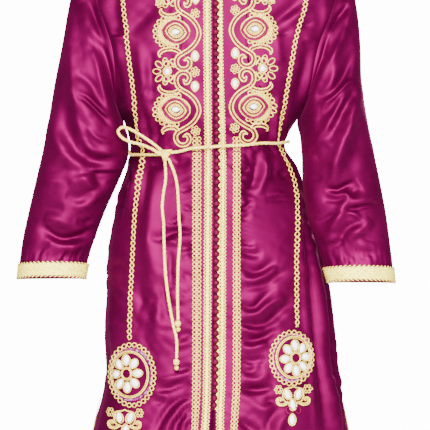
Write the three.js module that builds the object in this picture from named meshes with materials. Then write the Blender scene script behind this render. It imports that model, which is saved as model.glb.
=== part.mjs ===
import * as THREE from 'three';

// Embroidered satin tunic in its worn, filled-out form.
// Millimetres, +Z up, the front faces -Y. Right and left are the wearer's: right is -X, left is +X.
// The origin lies between the two neck points of the shoulder seams.

// Cloth
const WALL = 1.6;
const SEAM_HALF_GAP = 0.3;
const SLEEVE_SEAM_GAP = 1.5;
const HEM_Z = -967;
const SHOULDER_TIP = { half: 212, z: -62 };
const NECK_HALF = 72;
const NECK_FRONT_Z = -84;
const NECK_BACK_Z = -16;
const UNDERARM_ROW = 10;
const NECK_COLUMNS = 4;
const SHOULDER_COLUMNS = 4;
const FRONT_COLUMNS = NECK_COLUMNS + SHOULDER_COLUMNS;
const BACK_NECK_COLUMNS = 8;
const SLEEVE_ROWS = 13;
const SLIT_TOP_Z = -818;

// Trims
const LIFT = 0.7;
const STONE_LIFT = 0.9;
const BAND_LIFT = 1.2;
const LINE_LIFT = 3;
const BRAID_THICK = 2.2;
const BAND_THICK = 2.0;
const LINE_THICK = 1.8;
const LINE_WIDTH = 8;
const KNOT_PITCH = 12.2;
const KNOT_CENTRE = 3.7;
const KNOT_TOP_Z = -96;
const KNOT_END_Z = -838;
const CORD_DIAMETER = 5;
const CORD_SIDES = 6;

// Half-widths, depths and the backward shift of the side points at each height of the body
const BODY = [
  { z: 0, power: 2, right: 72, left: 72, front: 22, back: 20, shiftRight: 0, shiftLeft: 0 },
  { z: -15, power: 2.05, right: 104, left: 104, front: 42, back: 38, shiftRight: 0, shiftLeft: 0 },
  { z: -30, power: 2.1, right: 139, left: 139, front: 58, back: 54, shiftRight: 0, shiftLeft: 0 },
  { z: -46, power: 2.15, right: 176, left: 176, front: 70, back: 69, shiftRight: 0, shiftLeft: 0 },
  { z: -62, power: 2.2, right: 212, left: 212, front: 80, back: 82, shiftRight: 0, shiftLeft: 0 },
  { z: -100, power: 2.25, right: 214, left: 220, front: 96, back: 100, shiftRight: 0, shiftLeft: 0 },
  { z: -141, power: 2.3, right: 211, left: 222, front: 108, back: 110, shiftRight: 0, shiftLeft: 0 },
  { z: -210, power: 2.4, right: 206, left: 214, front: 118, back: 114, shiftRight: 0, shiftLeft: 0 },
  { z: -279, power: 2.4, right: 195, left: 196, front: 119, back: 108, shiftRight: 0, shiftLeft: 0 },
  { z: -345, power: 2.35, right: 155, left: 146, front: 112, back: 98, shiftRight: 2, shiftLeft: 2 },
  { z: -392, power: 2.3, right: 143, left: 125, front: 102, back: 91, shiftRight: 4, shiftLeft: 6 },
  { z: -430, power: 2.4, right: 151, left: 148, front: 107, back: 100, shiftRight: 6, shiftLeft: 20 },
  { z: -471, power: 2.55, right: 165, left: 163, front: 117, back: 114, shiftRight: 8, shiftLeft: 32 },
  { z: -520, power: 2.7, right: 174, left: 177, front: 125, back: 126, shiftRight: 8, shiftLeft: 40 },
  { z: -570, power: 2.8, right: 182, left: 189, front: 130, back: 132, shiftRight: 8, shiftLeft: 42 },
  { z: -636, power: 2.9, right: 186, left: 201, front: 134, back: 137, shiftRight: 8, shiftLeft: 40 },
  { z: -720, power: 3, right: 187, left: 208, front: 139, back: 142, shiftRight: 8, shiftLeft: 34 },
  { z: -800, power: 3, right: 189, left: 216, front: 144, back: 148, shiftRight: 8, shiftLeft: 28 },
  { z: -880, power: 3, right: 206, left: 233, front: 150, back: 155, shiftRight: 6, shiftLeft: 22 },
  { z: -980, power: 3, right: 223, left: 248, front: 158, back: 164, shiftRight: 4, shiftLeft: 18 },
];

// Heights of the panel rows below the underarm, closer together at the waist
const LOWER_ROWS = [
  -360, -377, -394, -411, -430, -452, -480, -512, -546, -582, -620, -660, -702, -745, -788, -818, -850,
  -885, -925, HEM_Z,
];

// Angle of the armhole seam from the centre front, the same from the centre back
const ARMHOLE = [
  { z: -62, angle: 90 },
  { z: -92, angle: 80 },
  { z: -130, angle: 71.5 },
  { z: -170, angle: 62 },
  { z: -210, angle: 55.5 },
  { z: -250, angle: 53.5 },
  { z: -280, angle: 56 },
  { z: -305, angle: 63 },
  { z: -326, angle: 75 },
  { z: -342, angle: 90 },
];

// Centre front line, half the distance between the two front edges, and the braid and chain band edges
const FRONT_EDGE = [
  { z: -84, centre: 2.6, half: 1.2 },
  { z: -250, centre: 2.8, half: 1.2 },
  { z: -400, centre: 4.6, half: 1.2 },
  { z: -600, centre: 3.4, half: 1.2 },
  { z: -780, centre: 2.2, half: 1.2 },
  { z: -830, centre: 0.4, half: 1.4 },
  { z: -880, centre: -3, half: 2.6 },
  { z: -967, centre: -5, half: 5 },
];
const BRAID = [
  { z: -84, rightOuter: -17, rightInner: -4.4, leftInner: 9.6, leftOuter: 15.6 },
  { z: -250, rightOuter: -16.4, rightInner: -3.8, leftInner: 10, leftOuter: 17 },
  { z: -400, rightOuter: -14.8, rightInner: -2.6, leftInner: 11.6, leftOuter: 21.4 },
  { z: -600, rightOuter: -16, rightInner: -3.2, leftInner: 9.8, leftOuter: 21.4 },
  { z: -795, rightOuter: -17.2, rightInner: -4.6, leftInner: 8, leftOuter: 20.4 },
  { z: -840, rightOuter: -18.4, rightInner: -5.8, leftInner: 5.6, leftOuter: 18.4 },
  { z: -881, rightOuter: -20.8, rightInner: -8, leftInner: 5.2, leftOuter: 18 },
  { z: -967, rightOuter: -24, rightInner: -11.4, leftInner: 5.6, leftOuter: 18.4 },
];
const CHAIN_BAND = [
  { z: -402, rightOuter: -36, rightInner: -20, leftInner: 33, leftOuter: 46.4 },
  { z: -600, rightOuter: -36, rightInner: -20, leftInner: 33, leftOuter: 46.4 },
  { z: -800, rightOuter: -36, rightInner: -21, leftInner: 32.4, leftOuter: 46 },
  { z: -881, rightOuter: -37.4, rightInner: -26, leftInner: 28.4, leftOuter: 40.8 },
  { z: -967, rightOuter: -41, rightInner: -30, leftInner: 27, leftOuter: 39 },
];
const CHAIN_LINE_RIGHT = [
  [-158, -70], [-156, -100], [-155, -141], [-149, -200], [-143, -248], [-136, -294], [-132, -330],
  [-127, -365], [-118, -402], [-122, -432], [-128, -471], [-133, -511], [-139, -605], [-141, -652],
  [-142, -722],
];
const CHAIN_LINE_LEFT = [
  [165, -72], [162, -105], [158, -141], [149, -176], [140, -212], [132, -260], [124, -306], [116, -353],
  [111, -377], [111, -389], [122, -413], [136, -447], [142, -483], [143, -511], [141, -605], [143, -698],
];

// Large soft folds that run down the skirt: ridge above zero, trough below
const SKIRT_FOLDS = [
  { angle: 17, width: 5, depth: -2.5, top: -560 },
  { angle: 31, width: 7, depth: 2, top: -470 },
  { angle: 44, width: 7, depth: -2, top: -430 },
  { angle: 57, width: 6, depth: 5, top: -430 },
  { angle: 71, width: 7, depth: -7, top: -440 },
  { angle: -24, width: 6, depth: 4, top: -480 },
  { angle: -37, width: 7, depth: -2, top: -440 },
  { angle: -52, width: 8, depth: 2, top: -430 },
  { angle: -72, width: 7, depth: -2, top: -430 },
  { angle: 112, width: 8, depth: 7, top: -440 },
  { angle: 128, width: 7, depth: -7, top: -430 },
  { angle: 144, width: 8, depth: 8, top: -430 },
  { angle: 161, width: 7, depth: -7, top: -430 },
  { angle: 178, width: 8, depth: 6, top: -440 },
  { angle: -163, width: 7, depth: -7, top: -430 },
  { angle: -147, width: 8, depth: 8, top: -430 },
  { angle: -130, width: 7, depth: -6, top: -440 },
  { angle: -113, width: 8, depth: 6, top: -440 },
];

// Outer edge, inner edge, half-depth and centre of depth along each sleeve
const SLEEVE_RIGHT = [
  { t: 0, outerX: -212, outerZ: -62, innerX: -155, innerZ: -342, depth: 66, y: 0 },
  { t: 0.07, outerX: -236, outerZ: -92, innerX: -157, innerZ: -354, depth: 74, y: -3 },
  { t: 0.16, outerX: -250, outerZ: -145, innerX: -158, innerZ: -368, depth: 79, y: -8 },
  { t: 0.27, outerX: -262, outerZ: -216, innerX: -158.5, innerZ: -384, depth: 79, y: -14 },
  { t: 0.38, outerX: -275, outerZ: -284, innerX: -158.5, innerZ: -400, depth: 76, y: -20 },
  { t: 0.49, outerX: -285, outerZ: -347, innerX: -159.5, innerZ: -418, depth: 72, y: -25 },
  { t: 0.6, outerX: -295, outerZ: -400, innerX: -163, innerZ: -438, depth: 68, y: -28 },
  { t: 0.7, outerX: -307, outerZ: -452, innerX: -172, innerZ: -468, depth: 63, y: -30 },
  { t: 0.8, outerX: -319, outerZ: -504, innerX: -188, innerZ: -508, depth: 58, y: -31 },
  { t: 0.9, outerX: -330, outerZ: -556, innerX: -206, innerZ: -556, depth: 53, y: -32 },
  { t: 0.96, outerX: -335, outerZ: -598, innerX: -219, innerZ: -598, depth: 49, y: -32 },
  { t: 1, outerX: -337, outerZ: -621, innerX: -222, innerZ: -621, depth: 48, y: -32 },
];
const SLEEVE_LEFT = [
  { t: 0, outerX: 212, outerZ: -62, innerX: 148, innerZ: -342, depth: 66, y: 0 },
  { t: 0.07, outerX: 235, outerZ: -92, innerX: 149, innerZ: -352, depth: 74, y: -4 },
  { t: 0.16, outerX: 248, outerZ: -145, innerX: 150, innerZ: -366, depth: 79, y: -11 },
  { t: 0.27, outerX: 255, outerZ: -212, innerX: 151, innerZ: -382, depth: 79, y: -19 },
  { t: 0.38, outerX: 257, outerZ: -280, innerX: 152, innerZ: -398, depth: 76, y: -27 },
  { t: 0.49, outerX: 266, outerZ: -344, innerX: 153, innerZ: -416, depth: 72, y: -35 },
  { t: 0.6, outerX: 276, outerZ: -396, innerX: 153, innerZ: -436, depth: 68, y: -42 },
  { t: 0.7, outerX: 287, outerZ: -450, innerX: 155, innerZ: -468, depth: 63, y: -49 },
  { t: 0.8, outerX: 297, outerZ: -504, innerX: 161, innerZ: -511, depth: 58, y: -54 },
  { t: 0.9, outerX: 304, outerZ: -556, innerX: 176, innerZ: -558, depth: 53, y: -58 },
  { t: 0.96, outerX: 309, outerZ: -602, innerX: 192, innerZ: -603, depth: 49, y: -60 },
  { t: 1, outerX: 311, outerZ: -627, innerX: 198, innerZ: -627, depth: 48, y: -60 },
];
const CUFF_BRAID_HEIGHT = 24;
const CUFF_THICK = 2;

// Large folds of the sleeves as places on the front view: trough below zero, ridge above
const SLEEVE_FOLDS_RIGHT = [
  { from: [-252, -330], to: [-186, -444], width: 18, depth: -10 },
  { from: [-244, -300], to: [-168, -420], width: 15, depth: 7 },
  { from: [-288, -540], to: [-204, -540], width: 18, depth: -7 },
  { from: [-214, -150], to: [-176, -300], width: 14, depth: -4 },
];
const SLEEVE_FOLDS_LEFT = [
  { from: [232, -190], to: [184, -300], width: 14, depth: -5 },
  { from: [238, -330], to: [206, -420], width: 17, depth: 8 },
  { from: [190, -474], to: [262, -450], width: 16, depth: -8 },
  { from: [186, -536], to: [240, -580], width: 16, depth: -7 },
];

// Embroidered ornaments: places on the front view, and how far the flat base stands off the facets
const EYES = [
  { name: 'eye_upper_right', x: -71, z: -199, halfX: 31, halfZ: 29, lift: 1.1 },
  { name: 'eye_lower_right', x: -70.5, z: -330, halfX: 31, halfZ: 29, lift: 1.3 },
  { name: 'eye_upper_left', x: 77, z: -194, halfX: 31, halfZ: 29, lift: 0.9 },
  { name: 'eye_lower_left', x: 74, z: -325, halfX: 31, halfZ: 29, lift: 1.8 },
];
const FLOWERS = [
  { name: 'flower_upper_right', x: -79, z: -134, halfX: 24, halfZ: 24, lift: 1.5 },
  { name: 'flower_lower_right', x: -79, z: -265, halfX: 27, halfZ: 27, lift: 1.6 },
  { name: 'flower_upper_left', x: 84, z: -129, halfX: 24, halfZ: 24, lift: 1.5 },
  { name: 'flower_lower_left', x: 84, z: -260, halfX: 27, halfZ: 27, lift: 1.1 },
];
const EYE_SCALLOPS = 14;
const FLOWER_PETALS = 7;
const S_CORD_WIDTH = 6;
const S_CORD_RIGHT = [
  [-40, -112], [-33, -128], [-42, -148], [-52, -158], [-36, -170], [-27, -198], [-36, -226], [-47, -242],
  [-42, -256], [-37, -266], [-42, -276], [-47, -288], [-36, -304], [-27, -330], [-36, -356], [-50, -372],
];
const S_CORD_LEFT = [
  [44, -108], [37, -124], [46, -143], [56, -153], [40, -165], [30, -194], [40, -222], [51, -238],
  [46, -251], [41, -261], [46, -271], [51, -283], [40, -299], [30, -326], [40, -352], [54, -368],
];
const MEDALLIONS = [
  { side: 'right', x: -136, z: -784, halfX: 40, halfZ: 56, flowerX: -141, flowerZ: -782, lift: 3.1 },
  { side: 'left', x: 133, z: -755, halfX: 39, halfZ: 49, flowerX: 137, flowerZ: -755, lift: 1.5 },
];
const MEDALLION_HEIGHT = 1.6;
const MEDALLION_RIM = 3;
const GEM_FLOWER_RADIUS = 21;
const GEM_PETALS = 8;
const DROP_STONES = [
  { name: 'stone_1_right', x: -159, z: -856 },
  { name: 'stone_2_right', x: -141, z: -856 },
  { name: 'stone_3_right', x: -149, z: -880 },
  { name: 'stone_1_left', x: 126, z: -818 },
  { name: 'stone_2_left', x: 145, z: -818 },
  { name: 'stone_3_left', x: 135, z: -838 },
  { name: 'stone_4_left', x: 134, z: -862 },
];
const STONE_HALF = { x: 5, z: 8 };
const SLIT_TRIM_WIDTH = 7;

// Cord belt: places on the front view
const BELT_FRONT = [
  { x: -144, z: -402 },
  { x: -130, z: -409 },
  { x: -92, z: -409 },
  { x: -70, z: -405 },
  { x: -26, z: -396 },
  { x: 29, z: -392 },
  { x: 100, z: -386 },
  { x: 126, z: -382 },
];
const BELT_KNOT = { x: -80, z: -408, halfX: 8, halfY: 6, halfZ: 8.5 };
const BOW = [
  [-87.2, -102, -401.8], [-104, -108, -388], [-125, -106, -374], [-143, -100, -364], [-157, -95, -361],
  [-163, -93, -368], [-157, -94, -378], [-144, -97, -385], [-122, -101, -391], [-103, -103, -399],
  [-89.6, -102, -409],
];
const TAIL_1 = [
  [-80.4, -416.9], [-80, -449], [-84, -475], [-86, -501], [-84, -520], [-83, -557], [-80, -617], [-74, -664],
  [-67, -700], [-62, -723], [-62, -755],
];
const TAIL_2 = [
  [-74.6, -415.2], [-65, -442], [-61, -462], [-59, -488], [-58, -514], [-56, -546], [-59, -593], [-60, -652],
  [-59, -690],
];
const TAIL_KNOT = { half: 5.6, beadHalf: 4, beadDrop: 9.9 };

// Shared geometry
const DEG = Math.PI / 180;
const vec = (x, y, z) => new THREE.Vector3(x, y, z);
const mix = (a, b, t) => a + (b - a) * t;
const clamp01 = (v) => Math.min(1, Math.max(0, v));
const smooth = (v) => clamp01(v) * clamp01(v) * (3 - 2 * clamp01(v));

function lookUp(rows, key, name, at) {
  const falling = rows[rows.length - 1][key] < rows[0][key];
  const last = rows.length - 2;
  let i = 0;
  while (i < last && (falling ? at < rows[i + 1][key] : at > rows[i + 1][key])) {
    i += 1;
  }
  const slope = (k) => {
    const a = Math.max(k - 1, 0);
    const b = Math.min(k + 1, rows.length - 1);
    return (rows[b][name] - rows[a][name]) / (rows[b][key] - rows[a][key]);
  };
  const span = rows[i + 1][key] - rows[i][key];
  const t = clamp01((at - rows[i][key]) / span);
  const h = t * t * (3 - 2 * t);
  const rise = (t * t * t - 2 * t * t + t) * span * slope(i);
  const settle = (t * t * t - t * t) * span * slope(i + 1);
  return mix(rows[i][name], rows[i + 1][name], h) + rise + settle;
}

function skirtRelief(angle, z) {
  let sum = 0;
  for (const fold of SKIRT_FOLDS) {
    const apart = Math.abs(((angle - fold.angle + 540) % 360) - 180);
    const grown = smooth((fold.top - z) / 260);
    sum += fold.depth * grown * Math.exp(-((apart / fold.width) ** 2));
  }
  return sum;
}

// Point of the body's outside at an angle from the centre front (left side at +90) and a height
function bodyPoint(turn, z) {
  const angle = turn > 180 ? turn - 360 : turn;
  const left = angle >= 0;
  const s = Math.abs(Math.sin(angle * DEG));
  const c = Math.cos(angle * DEG);
  const power = lookUp(BODY, 'z', 'power', z);
  const k = (s ** power + Math.abs(c) ** power) ** (-1 / power);
  const half = lookUp(BODY, 'z', left ? 'left' : 'right', z);
  const depth = lookUp(BODY, 'z', c > 0 ? 'front' : 'back', z);
  const shift = lookUp(BODY, 'z', left ? 'shiftLeft' : 'shiftRight', z);
  const relief = skirtRelief(angle, z);
  const x = (left ? 1 : -1) * half * k * s;
  const y = -depth * k * c + shift * (k * s) ** 2;
  const out = Math.hypot(x / half, y / depth) * Math.hypot(half, depth);
  return vec(x + (relief * x * 1.4) / out, y + (relief * y * 1.4) / out, z);
}

function bodyNormal(angle, z) {
  const across = bodyPoint(angle + 0.5, z).sub(bodyPoint(angle - 0.5, z));
  const low = Math.min(z + 1.5, 0);
  const up = bodyPoint(angle, low).sub(bodyPoint(angle, low - 3));
  return across.cross(up).normalize();
}

function angleAtX(x, z) {
  const half = lookUp(BODY, 'z', x >= 0 ? 'left' : 'right', z);
  const s = Math.min(Math.abs(x) / half, 1);
  const power = lookUp(BODY, 'z', 'power', z);
  const c = (1 - s ** power) ** (1 / power);
  return (Math.sign(x) * Math.atan2(s, c)) / DEG;
}

// Flattened place across the body: the angle scaled by the half-width at that height
const flatOf = (angle, z) => (angle / 90) * lookUp(BODY, 'z', angle >= 0 ? 'left' : 'right', z);
const angleOf = (flat, z) => (flat * 90) / lookUp(BODY, 'z', flat >= 0 ? 'left' : 'right', z);

function closedSheet(outer, inner) {
  const rows = outer.length;
  const columns = outer[0].length;
  const points = [...outer.flat(), ...inner.flat()];
  const at = (layer, i, j) => layer * rows * columns + i * columns + j;
  const faces = [];
  const quad = (a, b, c, d) => faces.push(a, b, c, a, c, d);
  for (let i = 0; i + 1 < rows; i += 1) {
    for (let j = 0; j + 1 < columns; j += 1) {
      quad(at(0, i, j), at(0, i + 1, j), at(0, i + 1, j + 1), at(0, i, j + 1));
      quad(at(1, i, j), at(1, i, j + 1), at(1, i + 1, j + 1), at(1, i + 1, j));
    }
  }
  for (let i = 0; i + 1 < rows; i += 1) {
    quad(at(0, i, 0), at(1, i, 0), at(1, i + 1, 0), at(0, i + 1, 0));
    quad(at(0, i, columns - 1), at(0, i + 1, columns - 1), at(1, i + 1, columns - 1), at(1, i, columns - 1));
  }
  for (let j = 0; j + 1 < columns; j += 1) {
    quad(at(0, 0, j), at(0, 0, j + 1), at(1, 0, j + 1), at(1, 0, j));
    quad(at(0, rows - 1, j), at(1, rows - 1, j), at(1, rows - 1, j + 1), at(0, rows - 1, j + 1));
  }
  return { points, faces };
}

// Tube of sections; each section is a loop of points. The tube is closed on itself or capped flat.
function closedTube(sections, joined) {
  const count = sections.length;
  const sides = sections[0].length;
  const points = sections.flat();
  const faces = [];
  const at = (i, j) => (i % count) * sides + (j % sides);
  for (let i = 0; i < (joined ? count : count - 1); i += 1) {
    for (let j = 0; j < sides; j += 1) {
      faces.push(at(i, j), at(i, j + 1), at(i + 1, j + 1), at(i, j), at(i + 1, j + 1), at(i + 1, j));
    }
  }
  if (!joined) {
    for (let j = 1; j + 1 < sides; j += 1) {
      faces.push(at(0, 0), at(0, j + 1), at(0, j), at(count - 1, 0), at(count - 1, j), at(count - 1, j + 1));
    }
  }
  return { points, faces };
}

function volumeOf({ points, faces }) {
  let sum = 0;
  for (let i = 0; i < faces.length; i += 3) {
    const [a, b, c] = [points[faces[i]], points[faces[i + 1]], points[faces[i + 2]]];
    sum += a.dot(b.clone().cross(c)) / 6;
  }
  return sum;
}

const group = new THREE.Group();
group.name = 'tunic';

const material = (color, roughness, metalness) => new THREE.MeshStandardMaterial({ color, roughness, metalness });
const SATIN = material(0xb42a72, 0.4, 0);
const GOLD_BRAID = material(0xf0dfae, 0.5, 0.2);
const GOLD_THREAD = material(0xe2c378, 0.4, 0.5);
const SILK_KNOT = material(0xc23a80, 0.5, 0);
const STONE = material(0xf4f4f8, 0.1, 0);
const BELT_CORD = material(0xead9a8, 0.6, 0.1);

function addBody(name, surface, look) {
  const geometry = new THREE.BufferGeometry();
  const flat = surface.points.flatMap((p) => [p.x, p.y, p.z]);
  geometry.setAttribute('position', new THREE.Float32BufferAttribute(flat, 3));
  const faces = surface.faces.slice();
  if (volumeOf(surface) < 0) {
    for (let i = 0; i < faces.length; i += 3) {
      [faces[i + 1], faces[i + 2]] = [faces[i + 2], faces[i + 1]];
    }
  }
  geometry.setIndex(faces);
  geometry.computeVertexNormals();
  const mesh = new THREE.Mesh(geometry, look);
  mesh.name = name;
  group.add(mesh);
}

// Panels. A panel is a grid of flattened places blended from its four edges.
const BODY_ROWS = UNDERARM_ROW + LOWER_ROWS.length;
const UNDERARM_Z = ARMHOLE[ARMHOLE.length - 1].z;

// Share of the armhole's height reached at each of its rows, closer together at both ends
const armholeShare = (i) => mix(i / UNDERARM_ROW, (1 - Math.cos((i / UNDERARM_ROW) * Math.PI)) / 2, 0.65);

const rowShare = (i) => {
  const share = 0.31;
  if (i <= UNDERARM_ROW) {
    return share * armholeShare(i);
  }
  return mix(share, 1, (LOWER_ROWS[i - UNDERARM_ROW - 1] - UNDERARM_Z) / (HEM_Z - UNDERARM_Z));
};

const rowZ = (i, top) => {
  if (i <= UNDERARM_ROW) {
    return mix(top, UNDERARM_Z, armholeShare(i));
  }
  return LOWER_ROWS[i - UNDERARM_ROW - 1];
};

function sideEdge(i, sign) {
  const z = rowZ(i, SHOULDER_TIP.z);
  const angle = i <= UNDERARM_ROW ? lookUp(ARMHOLE, 'z', 'angle', z) : 90;
  return [flatOf(sign * angle, z), z];
}

function blendedGrid(top, bottom, start, end) {
  const rows = start.length - 1;
  const columns = top.length - 1;
  const grid = [];
  for (let i = 0; i <= rows; i += 1) {
    const v = rowShare(i);
    const line = [];
    for (let j = 0; j <= columns; j += 1) {
      const u = j / columns;
      line.push([0, 1].map((k) => {
        const across = mix(start[i][k], end[i][k], u);
        const along = mix(top[j][k], bottom[j][k], v);
        const corners = mix(mix(top[0][k], top[columns][k], u), mix(bottom[0][k], bottom[columns][k], u), v);
        return across + along - corners;
      }));
    }
    grid.push(line);
  }
  return grid;
}

const shoulderLine = (share, sign) => {
  const z = mix(0, SHOULDER_TIP.z, share);
  return [sign * Math.abs(flatOf(sign * 90, z)), z];
};

function frontGrid(sign) {
  const edge = (z) => {
    const x = lookUp(FRONT_EDGE, 'z', 'centre', z) + sign * lookUp(FRONT_EDGE, 'z', 'half', z);
    return [flatOf(angleAtX(x, z), z), z];
  };
  const top = [];
  for (let j = 0; j < NECK_COLUMNS; j += 1) {
    const turn = (j / NECK_COLUMNS) * 90 * DEG;
    const z = NECK_FRONT_Z * Math.cos(turn);
    const start = edge(NECK_FRONT_Z)[0];
    top.push([j === 0 ? start : sign * NECK_HALF * Math.sin(turn) ** 0.9, z]);
  }
  for (let j = 0; j <= SHOULDER_COLUMNS; j += 1) {
    top.push(shoulderLine(j / SHOULDER_COLUMNS, sign));
  }
  const start = [];
  const end = [];
  for (let i = 0; i <= BODY_ROWS; i += 1) {
    start.push(edge(rowZ(i, NECK_FRONT_Z)));
    end.push(sideEdge(i, sign));
  }
  const bottom = top.map((_, j) => [mix(start[BODY_ROWS][0], end[BODY_ROWS][0], j / FRONT_COLUMNS), HEM_Z]);
  return blendedGrid(top, bottom, start, end);
}

function backGrid() {
  const top = [];
  for (let j = SHOULDER_COLUMNS; j > 0; j -= 1) {
    top.push(shoulderLine(j / SHOULDER_COLUMNS, -1));
  }
  for (let j = 0; j <= BACK_NECK_COLUMNS; j += 1) {
    const across = (2 * j) / BACK_NECK_COLUMNS - 1;
    top.push([NECK_HALF * across, NECK_BACK_Z * Math.sqrt(1 - across * across)]);
  }
  for (let j = 1; j <= SHOULDER_COLUMNS; j += 1) {
    top.push(shoulderLine(j / SHOULDER_COLUMNS, 1));
  }
  const start = [];
  const end = [];
  for (let i = 0; i <= BODY_ROWS; i += 1) {
    start.push(sideEdge(i, -1));
    end.push(sideEdge(i, 1));
  }
  const columns = top.length - 1;
  const bottom = top.map((_, j) => [mix(start[BODY_ROWS][0], end[BODY_ROWS][0], j / columns), HEM_Z]);
  return blendedGrid(top, bottom, start, end);
}

// Distance kept from a seam, wider below the top of the side slits
function seamShift(z) {
  return SEAM_HALF_GAP + 9 * smooth((SLIT_TOP_Z - z) / 150);
}

function panelPoints(grid, isBack) {
  const outer = [];
  const normals = [];
  for (const line of grid) {
    const points = [];
    const facing = [];
    line.forEach(([flat, z], j) => {
      let angle = angleOf(flat, z);
      if (isBack) {
        angle = 180 - angle;
      }
      const point = bodyPoint(angle, z);
      const beside = Math.abs(Math.abs(angleOf(flat, z)) - 90) < 0.05;
      if (beside) {
        point.y += (isBack ? 1 : -1) * seamShift(z);
      }
      points.push(point);
      facing.push(bodyNormal(angle, z));
    });
    outer.push(points);
    normals.push(facing);
  }
  return { outer, normals };
}

const inward = (outer, normals, wall) => outer.map((line, i) =>
  line.map((p, j) => p.clone().addScaledVector(normals[i][j], -wall)));

const fronts = { right: panelPoints(frontGrid(-1), false), left: panelPoints(frontGrid(1), false) };
const back = panelPoints(backGrid(), true);
addBody('front_right', closedSheet(fronts.right.outer, inward(fronts.right.outer, fronts.right.normals, WALL)), SATIN);
addBody('front_left', closedSheet(fronts.left.outer, inward(fronts.left.outer, fronts.left.normals, WALL)), SATIN);
addBody('back', closedSheet(back.outer, inward(back.outer, back.normals, WALL)), SATIN);

// Sleeves. A sleeve is a row of rings; the first ring follows the armhole of the panels.
function reliefAt(folds, x, z) {
  let sum = 0;
  for (const fold of folds) {
    const dx = fold.to[0] - fold.from[0];
    const dz = fold.to[1] - fold.from[1];
    const along = clamp01(((x - fold.from[0]) * dx + (z - fold.from[1]) * dz) / (dx * dx + dz * dz));
    const apart = Math.hypot(x - fold.from[0] - dx * along, z - fold.from[1] - dz * along);
    sum += fold.depth * Math.exp(-((apart / fold.width) ** 2));
  }
  return sum;
}

function sleevePoints(rows, folds, seam, facing, inside) {
  const half = UNDERARM_ROW;
  const rings = [];
  for (let i = 0; i <= SLEEVE_ROWS; i += 1) {
    const t = i / SLEEVE_ROWS;
    const at = (name) => lookUp(rows, 't', name, t);
    const outerEdge = vec(at('outerX'), at('y'), at('outerZ'));
    const innerEdge = vec(at('innerX'), at('y'), at('innerZ'));
    const centre = outerEdge.clone().add(innerEdge).multiplyScalar(0.5);
    const arm = outerEdge.clone().sub(innerEdge).multiplyScalar(0.5);
    const ring = [];
    for (let j = 0; j < half * 2; j += 1) {
      const level = 1 - 2 * armholeShare(j <= half ? j : half * 2 - j);
      const turn = j <= half ? Math.acos(level) : Math.PI * 2 - Math.acos(level);
      const point = centre.clone().addScaledVector(arm, Math.cos(turn));
      const round = -at('depth') * Math.sign(Math.sin(turn)) * Math.abs(Math.sin(turn)) ** 0.94;
      point.y += mix(seam[j].y, round, smooth(t / 0.4));
      const out = vec(arm.x * Math.cos(turn), -arm.length() * Math.sin(turn), arm.z * Math.cos(turn)).normalize();
      const ends = smooth(t / 0.12) * smooth((0.94 - t) / 0.08);
      point.addScaledVector(out, reliefAt(folds, point.x, point.z) * ends * Math.abs(Math.sin(turn)));
      ring.push(point);
    }
    rings.push(ring);
  }
  rings[0] = seam.map((p, j) => {
    const along = seam[(j + 1) % seam.length].clone().sub(seam[(j + seam.length - 1) % seam.length]).normalize();
    const away = facing[j].clone().cross(along).normalize();
    const turned = Math.sign(away.dot(p.clone().sub(inside[j])));
    const low = clamp01(1.5 - Math.abs(j - half) / 2);
    const apart = away.multiplyScalar(turned).lerp(facing[j], Math.min(low, 0.95)).normalize();
    return p.clone().addScaledVector(apart, SLEEVE_SEAM_GAP);
  });
  return rings;
}

function ringNormals(rings, sign) {
  return rings.map((ring, i) => ring.map((_, j) => {
    const next = ring[(j + 1) % ring.length];
    const before = ring[(j - 1 + ring.length) % ring.length];
    const up = rings[Math.max(i - 1, 0)][j].clone().sub(rings[Math.min(i + 1, rings.length - 1)][j]);
    return next.clone().sub(before).cross(up).normalize().multiplyScalar(sign);
  }));
}

function sleeveSurface(rings, normals, low, high) {
  const count = rings.length;
  const sections = [];
  for (let j = 0; j < rings[0].length; j += 1) {
    const loop = [];
    for (let i = 0; i < count; i += 1) {
      loop.push(rings[i][j].clone().addScaledVector(normals[i][j], high));
    }
    for (let i = count - 1; i >= 0; i -= 1) {
      loop.push(rings[i][j].clone().addScaledVector(normals[i][j], low));
    }
    sections.push(loop);
  }
  return closedTube(sections, true);
}

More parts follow.
